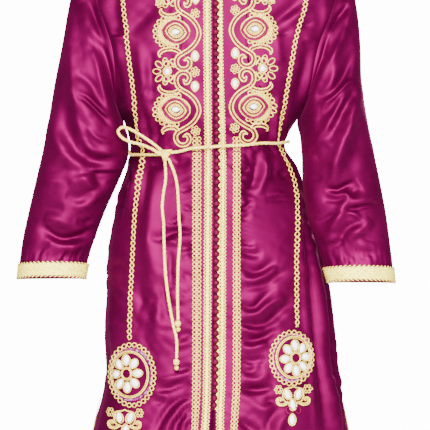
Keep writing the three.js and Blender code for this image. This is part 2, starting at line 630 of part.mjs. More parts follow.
const backLast = back.outer[0].length - 1;
for (const side of ['right', 'left']) {
  const isRight = side === 'right';
  const sign = isRight ? -1 : 1;
  const rows = isRight ? SLEEVE_RIGHT : SLEEVE_LEFT;
  const folds = isRight ? SLEEVE_FOLDS_RIGHT : SLEEVE_FOLDS_LEFT;
  const seam = [];
  const facing = [];
  const inside = [];
  for (let j = 0; j < UNDERARM_ROW * 2; j += 1) {
    const onFrontPanel = j <= UNDERARM_ROW;
    const panel = onFrontPanel ? fronts[side] : back;
    const row = onFrontPanel ? j : UNDERARM_ROW * 2 - j;
    const column = onFrontPanel ? FRONT_COLUMNS : (isRight ? 0 : backLast);
    seam.push(panel.outer[row][column].clone());
    facing.push(panel.normals[row][column]);
    inside.push(panel.outer[row][column === 0 ? 1 : column - 1]);
  }
  seam[0].y += SEAM_HALF_GAP;
  seam[UNDERARM_ROW].y += SEAM_HALF_GAP;
  const rings = sleevePoints(rows, folds, seam, facing, inside);
  const normals = ringNormals(rings, -sign);
  facing.forEach((normal, j) => {
    if (Math.abs(UNDERARM_ROW - j) > 1) {
      normals[0][j].copy(normal);
    }
  });
  addBody(`sleeve_${side}`, sleeveSurface(rings, normals, -WALL, 0), SATIN);
  const cuffRings = [];
  const cuffNormals = [];
  const last = rings.length - 1;
  for (const back24 of [CUFF_BRAID_HEIGHT, 0]) {
    const ring = rings[last].map((p, j) => {
      const up = rings[last - 1][j].clone().sub(p);
      return p.clone().addScaledVector(up.normalize(), back24);
    });
    cuffRings.push(ring);
    cuffNormals.push(normals[last]);
  }
  addBody(`cuff_braid_${side}`, sleeveSurface(cuffRings, cuffNormals, LIFT, LIFT + CUFF_THICK), GOLD_BRAID);
}

// Trims follow the facets of the front panels.
function facetsOf(panel) {
  const list = [];
  const { outer, normals } = panel;
  for (let i = 0; i + 1 < outer.length; i += 1) {
    for (let j = 0; j + 1 < outer[0].length; j += 1) {
      for (const corners of [[[i, j], [i + 1, j], [i + 1, j + 1]], [[i, j], [i + 1, j + 1], [i, j + 1]]]) {
        list.push(corners.map(([a, b]) => ({ point: outer[a][b], normal: normals[a][b] })));
      }
    }
  }
  return list;
}

const FACETS = { right: facetsOf(fronts.right), left: facetsOf(fronts.left) };

function onFront(side, x, z, lift) {
  let best = null;
  for (const facet of FACETS[side]) {
    const [a, b, c] = facet.map((corner) => corner.point);
    const whole = (b.x - a.x) * (c.z - a.z) - (c.x - a.x) * (b.z - a.z);
    if (Math.abs(whole) > 1e-6) {
      const p = ((b.x - x) * (c.z - z) - (c.x - x) * (b.z - z)) / whole;
      const q = ((c.x - x) * (a.z - z) - (a.x - x) * (c.z - z)) / whole;
      const r = 1 - p - q;
      const reach = Math.min(p, q, r);
      if (!best || reach > best.reach) {
        best = { reach, weights: [p, q, r], facet };
      }
    }
  }
  const point = vec(0, 0, 0);
  const normal = vec(0, 0, 0);
  best.facet.forEach((corner, k) => {
    point.addScaledVector(corner.point, best.weights[k]);
    normal.addScaledVector(corner.normal, best.weights[k]);
  });
  return point.addScaledVector(normal.normalize(), lift);
}

function evenPlaces(places, step) {
  const curve = new THREE.CatmullRomCurve3(places.map(([x, z]) => vec(x, 0, z)), false, 'centripetal');
  const count = Math.max(2, Math.round(curve.getLength() / step));
  return curve.getSpacedPoints(count).map((p) => [p.x, p.z]);
}

// Flat band between two edges on the front, four corners to a section
function bandBetween(side, firsts, seconds, lift, thick) {
  const sections = firsts.map(([x1, z1], i) => {
    const [x2, z2] = seconds[i];
    return [
      onFront(side, x1, z1, lift),
      onFront(side, x2, z2, lift),
      onFront(side, x2, z2, lift + thick),
      onFront(side, x1, z1, lift + thick),
    ];
  });
  return closedTube(sections, false);
}

function ribbonAlong(side, places, width, step, lift, thick) {
  const centre = evenPlaces(places, step);
  const firsts = [];
  const seconds = [];
  centre.forEach(([x, z], i) => {
    const [ax, az] = centre[Math.max(i - 1, 0)];
    const [bx, bz] = centre[Math.min(i + 1, centre.length - 1)];
    const length = Math.hypot(bx - ax, bz - az);
    const nx = (-(bz - az) / length) * (width / 2);
    const nz = ((bx - ax) / length) * (width / 2);
    firsts.push([x + nx, z + nz]);
    seconds.push([x - nx, z - nz]);
  });
  return bandBetween(side, firsts, seconds, lift, thick);
}

function bandFromTable(rows, side, top, bottom, step) {
  const count = Math.round((top - bottom) / step);
  const firsts = [];
  const seconds = [];
  for (let i = 0; i <= count; i += 1) {
    const z = mix(top, bottom, i / count);
    firsts.push([lookUp(rows, 'z', `${side}Outer`, z), z]);
    seconds.push([lookUp(rows, 'z', `${side}Inner`, z), z]);
  }
  return { firsts, seconds };
}

for (const side of ['right', 'left']) {
  const braid = bandFromTable(BRAID, side, NECK_FRONT_Z - 4, HEM_Z + 3, 16);
  addBody(`front_braid_${side}`, bandBetween(side, braid.firsts, braid.seconds, LIFT, BRAID_THICK), GOLD_BRAID);
  const band = bandFromTable(CHAIN_BAND, side, -404, HEM_Z + 3, 16);
  addBody(`chain_band_${side}`, bandBetween(side, band.firsts, band.seconds, BAND_LIFT, BAND_THICK), GOLD_THREAD);
  const line = side === 'right' ? CHAIN_LINE_RIGHT : CHAIN_LINE_LEFT;
  addBody(`chain_line_${side}`, ribbonAlong(side, line, LINE_WIDTH, 14, LINE_LIFT, LINE_THICK), GOLD_THREAD);
  const cord = side === 'right' ? S_CORD_RIGHT : S_CORD_LEFT;
  addBody(`s_cord_${side}`, ribbonAlong(side, cord, S_CORD_WIDTH, 11, LIFT, LINE_THICK), GOLD_THREAD);
}

// Round knots in one joined row over the front opening
{
  const sections = [];
  const count = Math.round((KNOT_TOP_Z - KNOT_END_Z) / KNOT_PITCH);
  for (let i = 0; i <= count * 2; i += 1) {
    const wide = i % 2 === 1;
    const z = mix(KNOT_TOP_Z, KNOT_END_Z, i / (count * 2));
    const x = lookUp(FRONT_EDGE, 'z', 'centre', z);
    const base = onFront('right', x - 2, z, 0);
    const grow = wide ? 1 : 0.55;
    const halfX = (z < -780 ? 4.6 : 6) * grow;
    const halfY = 3.6 * grow;
    const loop = [];
    for (let j = 0; j < CORD_SIDES; j += 1) {
      const turn = (j / CORD_SIDES) * Math.PI * 2;
      loop.push(vec(x + halfX * Math.cos(turn), base.y - KNOT_CENTRE - halfY * Math.sin(turn), z));
    }
    sections.push(loop);
  }
  addBody('knot_row', closedTube(sections, false), SILK_KNOT);
}

// Raised plates on polar grids: rings share the outline and follow the panel.
function plate(side, centreX, centreZ, outline, levels, segments, baseRings, lift) {
  const points = [];
  const faces = [];
  const place = (share, k, height) => {
    const turn = (k / segments) * Math.PI * 2;
    const reach = outline(turn, k);
    const x = centreX + reach.x * share * Math.cos(turn);
    const z = centreZ + reach.z * share * Math.sin(turn);
    return onFront(side, x, z, lift + height);
  };
  const rings = [];
  const addRing = (share, height) => {
    const start = points.length;
    for (let k = 0; k < segments; k += 1) {
      points.push(place(share, k, typeof height === 'function' ? height(k) : height));
    }
    rings.push(start);
  };
  for (let i = 1; i <= baseRings; i += 1) {
    addRing(i / baseRings, 0);
  }
  for (const level of levels) {
    addRing(level.share, level.height);
  }
  const bottomCentre = points.length;
  points.push(onFront(side, centreX, centreZ, lift));
  const topCentre = points.length;
  const last = levels[levels.length - 1];
  points.push(onFront(side, centreX, centreZ, lift + last.centre));
  for (let k = 0; k < segments; k += 1) {
    const n = (k + 1) % segments;
    faces.push(bottomCentre, rings[0] + n, rings[0] + k);
    for (let i = 0; i + 1 < rings.length; i += 1) {
      faces.push(rings[i] + k, rings[i] + n, rings[i + 1] + n, rings[i] + k, rings[i + 1] + n, rings[i + 1] + k);
    }
    const end = rings[rings.length - 1];
    faces.push(end + k, end + n, topCentre);
  }
  return { points, faces };
}

for (const eye of EYES) {
  const side = eye.name.endsWith('right') ? 'right' : 'left';
  const outline = (_, k) => {
    const share = k % 2 === 0 ? 1 : 0.9;
    return { x: eye.halfX * share, z: eye.halfZ * share };
  };
  const levels = [
    { share: 1, height: 1.4 },
    { share: 0.86, height: 2.4 },
    { share: 0.34, height: 1.4 },
    { share: 0.2, height: 4.2, centre: 4.8 },
  ];
  addBody(eye.name, plate(side, eye.x, eye.z, outline, levels, EYE_SCALLOPS * 2, 2, eye.lift), GOLD_THREAD);
}

for (const flower of FLOWERS) {
  const side = flower.name.endsWith('right') ? 'right' : 'left';
  const outline = (_, k) => {
    const share = k % 4 === 0 ? 1 : (k % 4 === 2 ? 0.56 : 0.86);
    return { x: flower.halfX * share, z: flower.halfZ * share };
  };
  const levels = [
    { share: 1, height: 1.6 },
    { share: 0.24, height: 1.6 },
    { share: 0.16, height: 4, centre: 4.6 },
  ];
  addBody(flower.name, plate(side, flower.x, flower.z, outline, levels, FLOWER_PETALS * 4, 2, flower.lift), GOLD_THREAD);
}

for (const medallion of MEDALLIONS) {
  const { side } = medallion;
  const outline = () => ({ x: medallion.halfX, z: medallion.halfZ });
  const levels = [
    { share: 1, height: MEDALLION_HEIGHT },
    { share: 0.94, height: MEDALLION_RIM },
    { share: 0.84, height: MEDALLION_HEIGHT },
    { share: 0.74, height: MEDALLION_RIM },
    { share: 0.66, height: MEDALLION_HEIGHT, centre: MEDALLION_HEIGHT },
  ];
  addBody(`medallion_${side}`, plate(side, medallion.x, medallion.z, outline, levels, 32, side === 'right' ? 5 : 3, medallion.lift), GOLD_THREAD);
  const petals = (_, k) => {
    const share = k % 4 === 0 ? 1 : (k % 4 === 2 ? 0.62 : 0.92);
    return { x: GEM_FLOWER_RADIUS * share, z: GEM_FLOWER_RADIUS * 1.16 * share };
  };
  const stones = [
    { share: 1, height: 1.2 },
    { share: 0.7, height: (k) => (k % 4 === 2 ? 1.4 : 4) },
    { share: 0.24, height: 1.6, centre: 1.2 },
  ];
  const seat = medallion.lift + MEDALLION_HEIGHT + 0.7;
  addBody(`stone_flower_${side}`,
    plate(side, medallion.flowerX, medallion.flowerZ, petals, stones, GEM_PETALS * 4, 2, seat), STONE);
}

for (const stone of DROP_STONES) {
  const side = stone.name.endsWith('right') ? 'right' : 'left';
  const outline = (turn) => {
    const narrow = 1 - 0.35 * clamp01(Math.sin(turn));
    return { x: STONE_HALF.x * narrow, z: STONE_HALF.z };
  };
  const levels = [
    { share: 1, height: 1.6 },
    { share: 0.7, height: 3.6, centre: 4.2 },
  ];
  addBody(stone.name, plate(side, stone.x, stone.z, outline, levels, 12, 1, STONE_LIFT), STONE);
}

// Trims on the edges of the side slits
{
  const panels = [
    ['slit_trim_front_right', fronts.right, FRONT_COLUMNS],
    ['slit_trim_front_left', fronts.left, FRONT_COLUMNS],
    ['slit_trim_back_right', back, 0],
    ['slit_trim_back_left', back, backLast],
  ];
  for (const [name, panel, column] of panels) {
    const inner = column === 0 ? 1 : column - 1;
    const sections = [];
    for (let i = 0; i < panel.outer.length; i += 1) {
      const edge = panel.outer[i][column];
      if (edge.z < SLIT_TOP_Z + 8) {
        const beside = panel.outer[i][inner];
        const share = SLIT_TRIM_WIDTH / edge.distanceTo(beside);
        const point = (along, lift) => {
          const normal = panel.normals[i][column].clone().lerp(panel.normals[i][inner], along).normalize();
          return edge.clone().lerp(beside, along).addScaledVector(normal, lift);
        };
        sections.push([
          point(0.02, 0.5), point(share, 0.5), point(share, 2), point(0.02, 2),
        ]);
      }
    }
    addBody(name, closedTube(sections, false), GOLD_BRAID);
  }
}

// Cord belt
function cordTube(points, diameter, sides, up) {
  const sections = points.map((p, i) => {
    const ahead = points[Math.min(i + 1, points.length - 1)];
    const behind = points[Math.max(i - 1, 0)];
    const along = ahead.clone().sub(behind).normalize();
    const first = along.clone().cross(up).normalize();
    const second = along.clone().cross(first).normalize();
    const loop = [];
    for (let j = 0; j < sides; j += 1) {
      const turn = (j / sides) * Math.PI * 2;
      loop.push(p.clone()
        .addScaledVector(first, (Math.cos(turn) * diameter) / 2)
        .addScaledVector(second, (Math.sin(turn) * diameter) / 2));
    }
    return loop;
  });
  return closedTube(sections, false);
}

function spaced(points, step) {
  const curve = new THREE.CatmullRomCurve3(points, false, 'centripetal');
  return curve.getSpacedPoints(Math.max(2, Math.round(curve.getLength() / step)));
}

const bump = (x, from, to, soft) => smooth((x - from + soft) / soft) * smooth((to + soft - x) / soft);

{
  const beltZ = (x) => {
    const rows = BELT_FRONT;
    let i = 0;
    while (i < rows.length - 2 && x > rows[i + 1].x) {
      i += 1;
    }
    return mix(rows[i].z, rows[i + 1].z, smooth((x - rows[i].x) / (rows[i + 1].x - rows[i].x)));
  };
  const path = [];
  const steps = 52;
  const gap = 8.4;
  const start = angleAtX(BELT_KNOT.x + gap, BELT_KNOT.z);
  const end = angleAtX(BELT_KNOT.x - gap, BELT_KNOT.z);
  for (let i = 0; i <= steps; i += 1) {
    const turn = mix(start, end + 360, i / steps);
    const angle = turn > 180 ? turn - 360 : turn;
    const onSide = Math.abs(angle) > 88;
    const guess = bodyPoint(angle, -396);
    let z = -392 - 6 * Math.sin((angle - 180) * DEG * 0.5) ** 2;
    if (!onSide) {
      z = beltZ(guess.x);
    } else {
      const back180 = (turn - 88) / 184;
      z = mix(beltZ(126), beltZ(-144), smooth(back180));
    }
    const point = bodyPoint(angle, z);
    const front = Math.abs(angle) < 60;
    let lift = 5;
    if (front) {
      lift += 7.6 * bump(point.x, -6, 14, 26);
      lift = Math.max(lift, 4 + 4 * bump(point.x, -38, 50, 22));
    }
    lift = Math.max(lift, 4.6 + 4 * bump(angle, -66, -46, 10), 4.6 + 4 * bump(angle, 48, 70, 10));
    path.push(point.addScaledVector(bodyNormal(angle, z), lift));
  }
  addBody('belt_waist', cordTube(path, CORD_DIAMETER, CORD_SIDES, vec(0, 0, 1)), BELT_CORD);
}

function ball(centre, half, segments, rings) {
  const geometry = new THREE.SphereGeometry(1, segments, rings);
  const points = [];
  const index = new Map();
  const position = geometry.getAttribute('position');
  const remap = [];
  for (let i = 0; i < position.count; i += 1) {
    const p = vec(position.getX(i) * half.x, position.getY(i) * half.y, position.getZ(i) * half.z).add(centre);
    const key = [p.x, p.y, p.z].map((v) => v.toFixed(4)).join();
    if (!index.has(key)) {
      index.set(key, points.length);
      points.push(p);
    }
    remap.push(index.get(key));
  }
  const faces = [];
  const source = geometry.getIndex();
  for (let i = 0; i < source.count; i += 3) {
    const tri = [0, 1, 2].map((k) => remap[source.getX(i + k)]);
    if (new Set(tri).size === 3) {
      faces.push(...tri);
    }
  }
  return { points, faces };
}

{
  const seat = onFront('right', BELT_KNOT.x, BELT_KNOT.z, 6.8);
  addBody('belt_knot', ball(seat, { x: BELT_KNOT.halfX, y: BELT_KNOT.halfY, z: BELT_KNOT.halfZ }, 10, 7), BELT_CORD);
  const bow = spaced(BOW.map(([x, y, z]) => vec(x, y, z)), 8);
  addBody('belt_bow', cordTube(bow, CORD_DIAMETER, CORD_SIDES, vec(0, 1, 0)), BELT_CORD);
}

const TAILS = [
  { name: 'belt_tail_1', places: TAIL_1, liftTop: 6.4, liftMiddle: 3.2, liftEnd: 3.4 },
  { name: 'belt_tail_2', places: TAIL_2, liftTop: 6.4, liftMiddle: 3.2, liftEnd: 8.5 },
];
for (const tail of TAILS) {
  const places = evenPlaces(tail.places, 13);
  const points = places.map(([x, z], i) => {
    const share = i / (places.length - 1);
    const base = mix(tail.liftTop, tail.liftMiddle, smooth(share * 8));
    return onFront('right', x, z, mix(base, tail.liftEnd, smooth(share * 1.6 - 0.6)));
  });
  addBody(tail.name, cordTube(points, CORD_DIAMETER, CORD_SIDES, vec(0, 1, 0)), BELT_CORD);
  const end = points[points.length - 1];
  const knot = end.clone().add(vec(-0.5, -2, -TAIL_KNOT.half - 0.2));
  addBody(`${tail.name}_knot`,
    ball(knot, { x: TAIL_KNOT.half, y: TAIL_KNOT.half * 0.8, z: TAIL_KNOT.half }, 8, 6), BELT_CORD);
  const bead = knot.clone().add(vec(0.5, 0, -TAIL_KNOT.beadDrop));
  const round = TAIL_KNOT.beadHalf;
  addBody(`${tail.name}_bead`, ball(bead, { x: round, y: round, z: round }, 8, 6), GOLD_THREAD);
}

export default group;
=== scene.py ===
"""Embroidered satin tunic in its worn form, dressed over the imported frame."""

import math

import bmesh
import bpy
import numpy as np
from bpy.props import FloatProperty, FloatVectorProperty, IntProperty, PointerProperty
from mathutils import Matrix, Vector


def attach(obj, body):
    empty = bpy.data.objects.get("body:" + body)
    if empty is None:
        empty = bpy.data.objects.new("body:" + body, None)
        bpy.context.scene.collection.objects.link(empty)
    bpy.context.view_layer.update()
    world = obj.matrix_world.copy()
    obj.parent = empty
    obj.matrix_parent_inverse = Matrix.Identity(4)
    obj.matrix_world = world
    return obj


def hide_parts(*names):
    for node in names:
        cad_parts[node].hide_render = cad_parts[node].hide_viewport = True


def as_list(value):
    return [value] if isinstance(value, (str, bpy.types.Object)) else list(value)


bl_info = {
    "name": "Embroidered Satin Tunic",
    "version": (1, 0, 0),
    "blender": (4, 5, 0),
    "location": "View3D > Sidebar > Tunic",
    "description": "Sews the satin, braid, gold work and cord belt of a tunic over its packed frame",
    "category": "Add Mesh",
}

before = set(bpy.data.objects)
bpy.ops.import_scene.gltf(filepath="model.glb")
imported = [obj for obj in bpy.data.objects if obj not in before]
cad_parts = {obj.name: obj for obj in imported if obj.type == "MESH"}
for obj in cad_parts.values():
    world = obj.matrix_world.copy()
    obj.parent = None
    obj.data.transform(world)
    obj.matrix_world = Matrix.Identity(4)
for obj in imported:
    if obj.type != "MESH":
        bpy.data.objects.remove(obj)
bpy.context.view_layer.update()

MM = 0.001

# ---------------------------- sizes, in millimetres

HEM_Z = -967
NECK_FRONT_Z, NECK_BACK_Z, NECK_HALF = -84, -16, 72
SHOULDER_TIP_Z, UNDERARM_Z = -62, -342
SLIT_TOP_Z = -818
BELT_Z = -396

# Height, power of the outline, half-widths, depths and backward shift of the side points
BODY = np.array([
    (0, 2, 72, 72, 22, 20, 0, 0), (-15, 2.05, 104, 104, 42, 38, 0, 0),
    (-30, 2.1, 139, 139, 58, 54, 0, 0), (-46, 2.15, 176, 176, 70, 69, 0, 0),
    (-62, 2.2, 212, 212, 80, 82, 0, 0), (-100, 2.25, 214, 220, 96, 100, 0, 0),
    (-141, 2.3, 211, 222, 108, 110, 0, 0), (-210, 2.4, 206, 214, 118, 114, 0, 0),
    (-279, 2.4, 195, 196, 119, 108, 0, 0), (-345, 2.35, 155, 146, 112, 98, 2, 2),
    (-392, 2.3, 143, 125, 102, 91, 4, 6), (-430, 2.4, 151, 148, 107, 100, 6, 20),
    (-471, 2.55, 165, 163, 117, 114, 8, 32), (-520, 2.7, 174, 177, 125, 126, 8, 40),
    (-570, 2.8, 182, 189, 130, 132, 8, 42), (-636, 2.9, 186, 201, 134, 137, 8, 40),
    (-720, 3, 187, 208, 139, 142, 8, 34), (-800, 3, 189, 216, 144, 148, 8, 28),
    (-880, 3, 206, 233, 150, 155, 6, 22), (-980, 3, 223, 248, 158, 164, 4, 18),
])
BODY_Z, POWER, HALF_RIGHT, HALF_LEFT, DEPTH_FRONT, DEPTH_BACK, SHIFT_RIGHT, SHIFT_LEFT = BODY.T

# Height and angle of the armhole seam
ARMHOLE_Z, ARMHOLE_ANGLE = np.array([
    (-62, 90), (-92, 80), (-130, 71.5), (-170, 62), (-210, 55.5), (-250, 53.5), (-280, 56),
    (-305, 63), (-326, 75), (-342, 90),
]).T

# Height, centre line and half gap of the two front edges
EDGE_Z, EDGE_CENTRE, EDGE_HALF = np.array([
    (-84, 2.6, 1.2), (-250, 2.8, 1.2), (-400, 4.6, 1.2), (-600, 3.4, 1.2), (-780, 2.2, 1.2),
    (-830, 0.4, 1.4), (-880, -3, 2.6), (-967, -5, 5),
]).T

# Height, then outer and inner edge on the right, inner and outer edge on the left
BRAID = np.array([
    (-84, -17, -4.4, 9.6, 15.6), (-250, -16.4, -3.8, 10, 17), (-400, -14.8, -2.6, 11.6, 21.4),
    (-600, -16, -3.2, 9.8, 21.4), (-795, -17.2, -4.6, 8, 20.4), (-840, -18.4, -5.8, 5.6, 18.4),
    (-881, -20.8, -8, 5.2, 18), (-967, -24, -11.4, 5.6, 18.4),
])
CHAIN_BAND = np.array([
    (-402, -36, -20, 33, 46.4), (-600, -36, -20, 33, 46.4), (-800, -36, -21, 32.4, 46),
    (-881, -37.4, -26, 28.4, 40.8), (-967, -41, -30, 27, 39),
])
CHAIN_LINE = {
    "right": [(-158, -70), (-156, -100), (-155, -141), (-149, -200), (-143, -248), (-136, -294),
              (-132, -330), (-127, -365), (-118, -402), (-122, -432), (-128, -471), (-133, -511),
              (-139, -605), (-141, -652), (-142, -724)],
    "left": [(165, -72), (162, -105), (158, -141), (149, -176), (140, -212), (132, -260),
             (124, -306), (116, -353), (111, -377), (111, -389), (122, -413), (136, -447),
             (142, -483), (143, -511), (141, -605), (143, -702)],
}

# Angle, width, depth and top of the large folds of the skirt
SKIRT_FOLDS = (
    (17, 5, -2.5, -560), (31, 7, 2, -470), (44, 7, -2, -430), (57, 6, 5, -430), (71, 7, -7, -440),
    (-24, 6, 4, -480), (-37, 7, -2, -440), (-52, 8, 2, -430), (-72, 7, -2, -430),
    (112, 8, 7, -440), (128, 7, -7, -430), (144, 8, 8, -430), (161, 7, -7, -430),
    (178, 8, 6, -440), (-163, 7, -7, -430), (-147, 8, 8, -430), (-130, 7, -6, -440),
    (-113, 8, 6, -440),
)

# Share along the sleeve, outer edge x z, inner edge x z, half depth, centre of depth
SLEEVE = {
    "right": np.array([
        (0, -212, -62, -155, -342, 66, 0), (0.07, -236, -92, -157, -354, 74, -3),
        (0.16, -250, -145, -158, -368, 79, -8), (0.27, -262, -216, -158.5, -384, 79, -14),
        (0.38, -275, -284, -158.5, -400, 76, -20), (0.49, -285, -347, -159.5, -418, 72, -25),
        (0.6, -295, -400, -163, -438, 68, -28), (0.7, -307, -452, -172, -468, 63, -30),
        (0.8, -319, -504, -188, -508, 58, -31), (0.9, -330, -556, -206, -556, 53, -32),
        (0.96, -335, -598, -219, -598, 49, -32), (1, -337, -621, -222, -621, 48, -32),
    ]),
    "left": np.array([
        (0, 212, -62, 148, -342, 66, 0), (0.07, 235, -92, 149, -352, 74, -4),
        (0.16, 248, -145, 150, -366, 79, -11), (0.27, 255, -212, 151, -382, 79, -19),
        (0.38, 257, -280, 152, -398, 76, -27), (0.49, 266, -344, 153, -416, 72, -35),
        (0.6, 276, -396, 153, -436, 68, -42), (0.7, 287, -450, 155, -468, 63, -49),
        (0.8, 297, -504, 161, -511, 58, -54), (0.9, 304, -556, 176, -558, 53, -58),
        (0.96, 309, -602, 192, -603, 49, -60), (1, 311, -627, 198, -627, 48, -60),
    ]),
}
# Large folds of the sleeves: from, to, width, depth
SLEEVE_FOLDS = {
    "right": (((-252, -330), (-186, -444), 18, -10), ((-244, -300), (-168, -420), 15, 7),
              ((-288, -540), (-204, -540), 18, -7), ((-214, -150), (-176, -300), 14, -4)),
    "left": (((232, -190), (184, -300), 14, -5), ((238, -330), (206, -420), 17, 8),
             ((190, -474), (262, -450), 16, -8), ((186, -536), (240, -580), 16, -7)),
}
# Share along each sleeve, and how far it leans on the waist there
NEAR_WAIST = {
    "right": ((0, 0), (0.07, 2), (0.16, 8.5), (0.27, 12.5), (0.38, 13.5), (0.49, 11), (0.6, 6), (0.75, 0), (1, 0)),
    "left": ((0, 0), (0.04, 2.5), (0.1, 3.5), (0.17, 1.5), (0.25, 0), (1, 0)),
}
CUFF_HEIGHT = 24
CUFF_ARCH = 5.5
# How deep seams pull the cloth in, and how far and deep a sleeve's allowance lies inside the armhole
SEAM_GROOVE = 1.1
ALLOWANCE_ANGLE, ALLOWANCE_DEPTH = 1.4, 2.3
SLIT_OPENING, SLIT_RUN = 9, 150
# Length of one degree of the body's outline at the sides
DEGREE_RUN = 2.4
HEM_STITCH = 14
# Even spans of the panels' top edges, and the width of one in the cloth's grid
FRONT_SPANS, FRONT_SPAN = 8, 36
BACK_SPANS, BACK_SPAN = 16, 35
FRONT_LENGTH, BACK_LENGTH = 900, 930
SLEEVE_ROUND, SLEEVE_LENGTH = 430, 570
# Where the chain bands start at the belt, and where their short starts above it run
BAND_TOP, BAND_START_TOP, BAND_START_END = -404, -377, -402.4
KNOTS_TOP, KNOTS_END, SMALL_KNOTS = -96, -838, -780

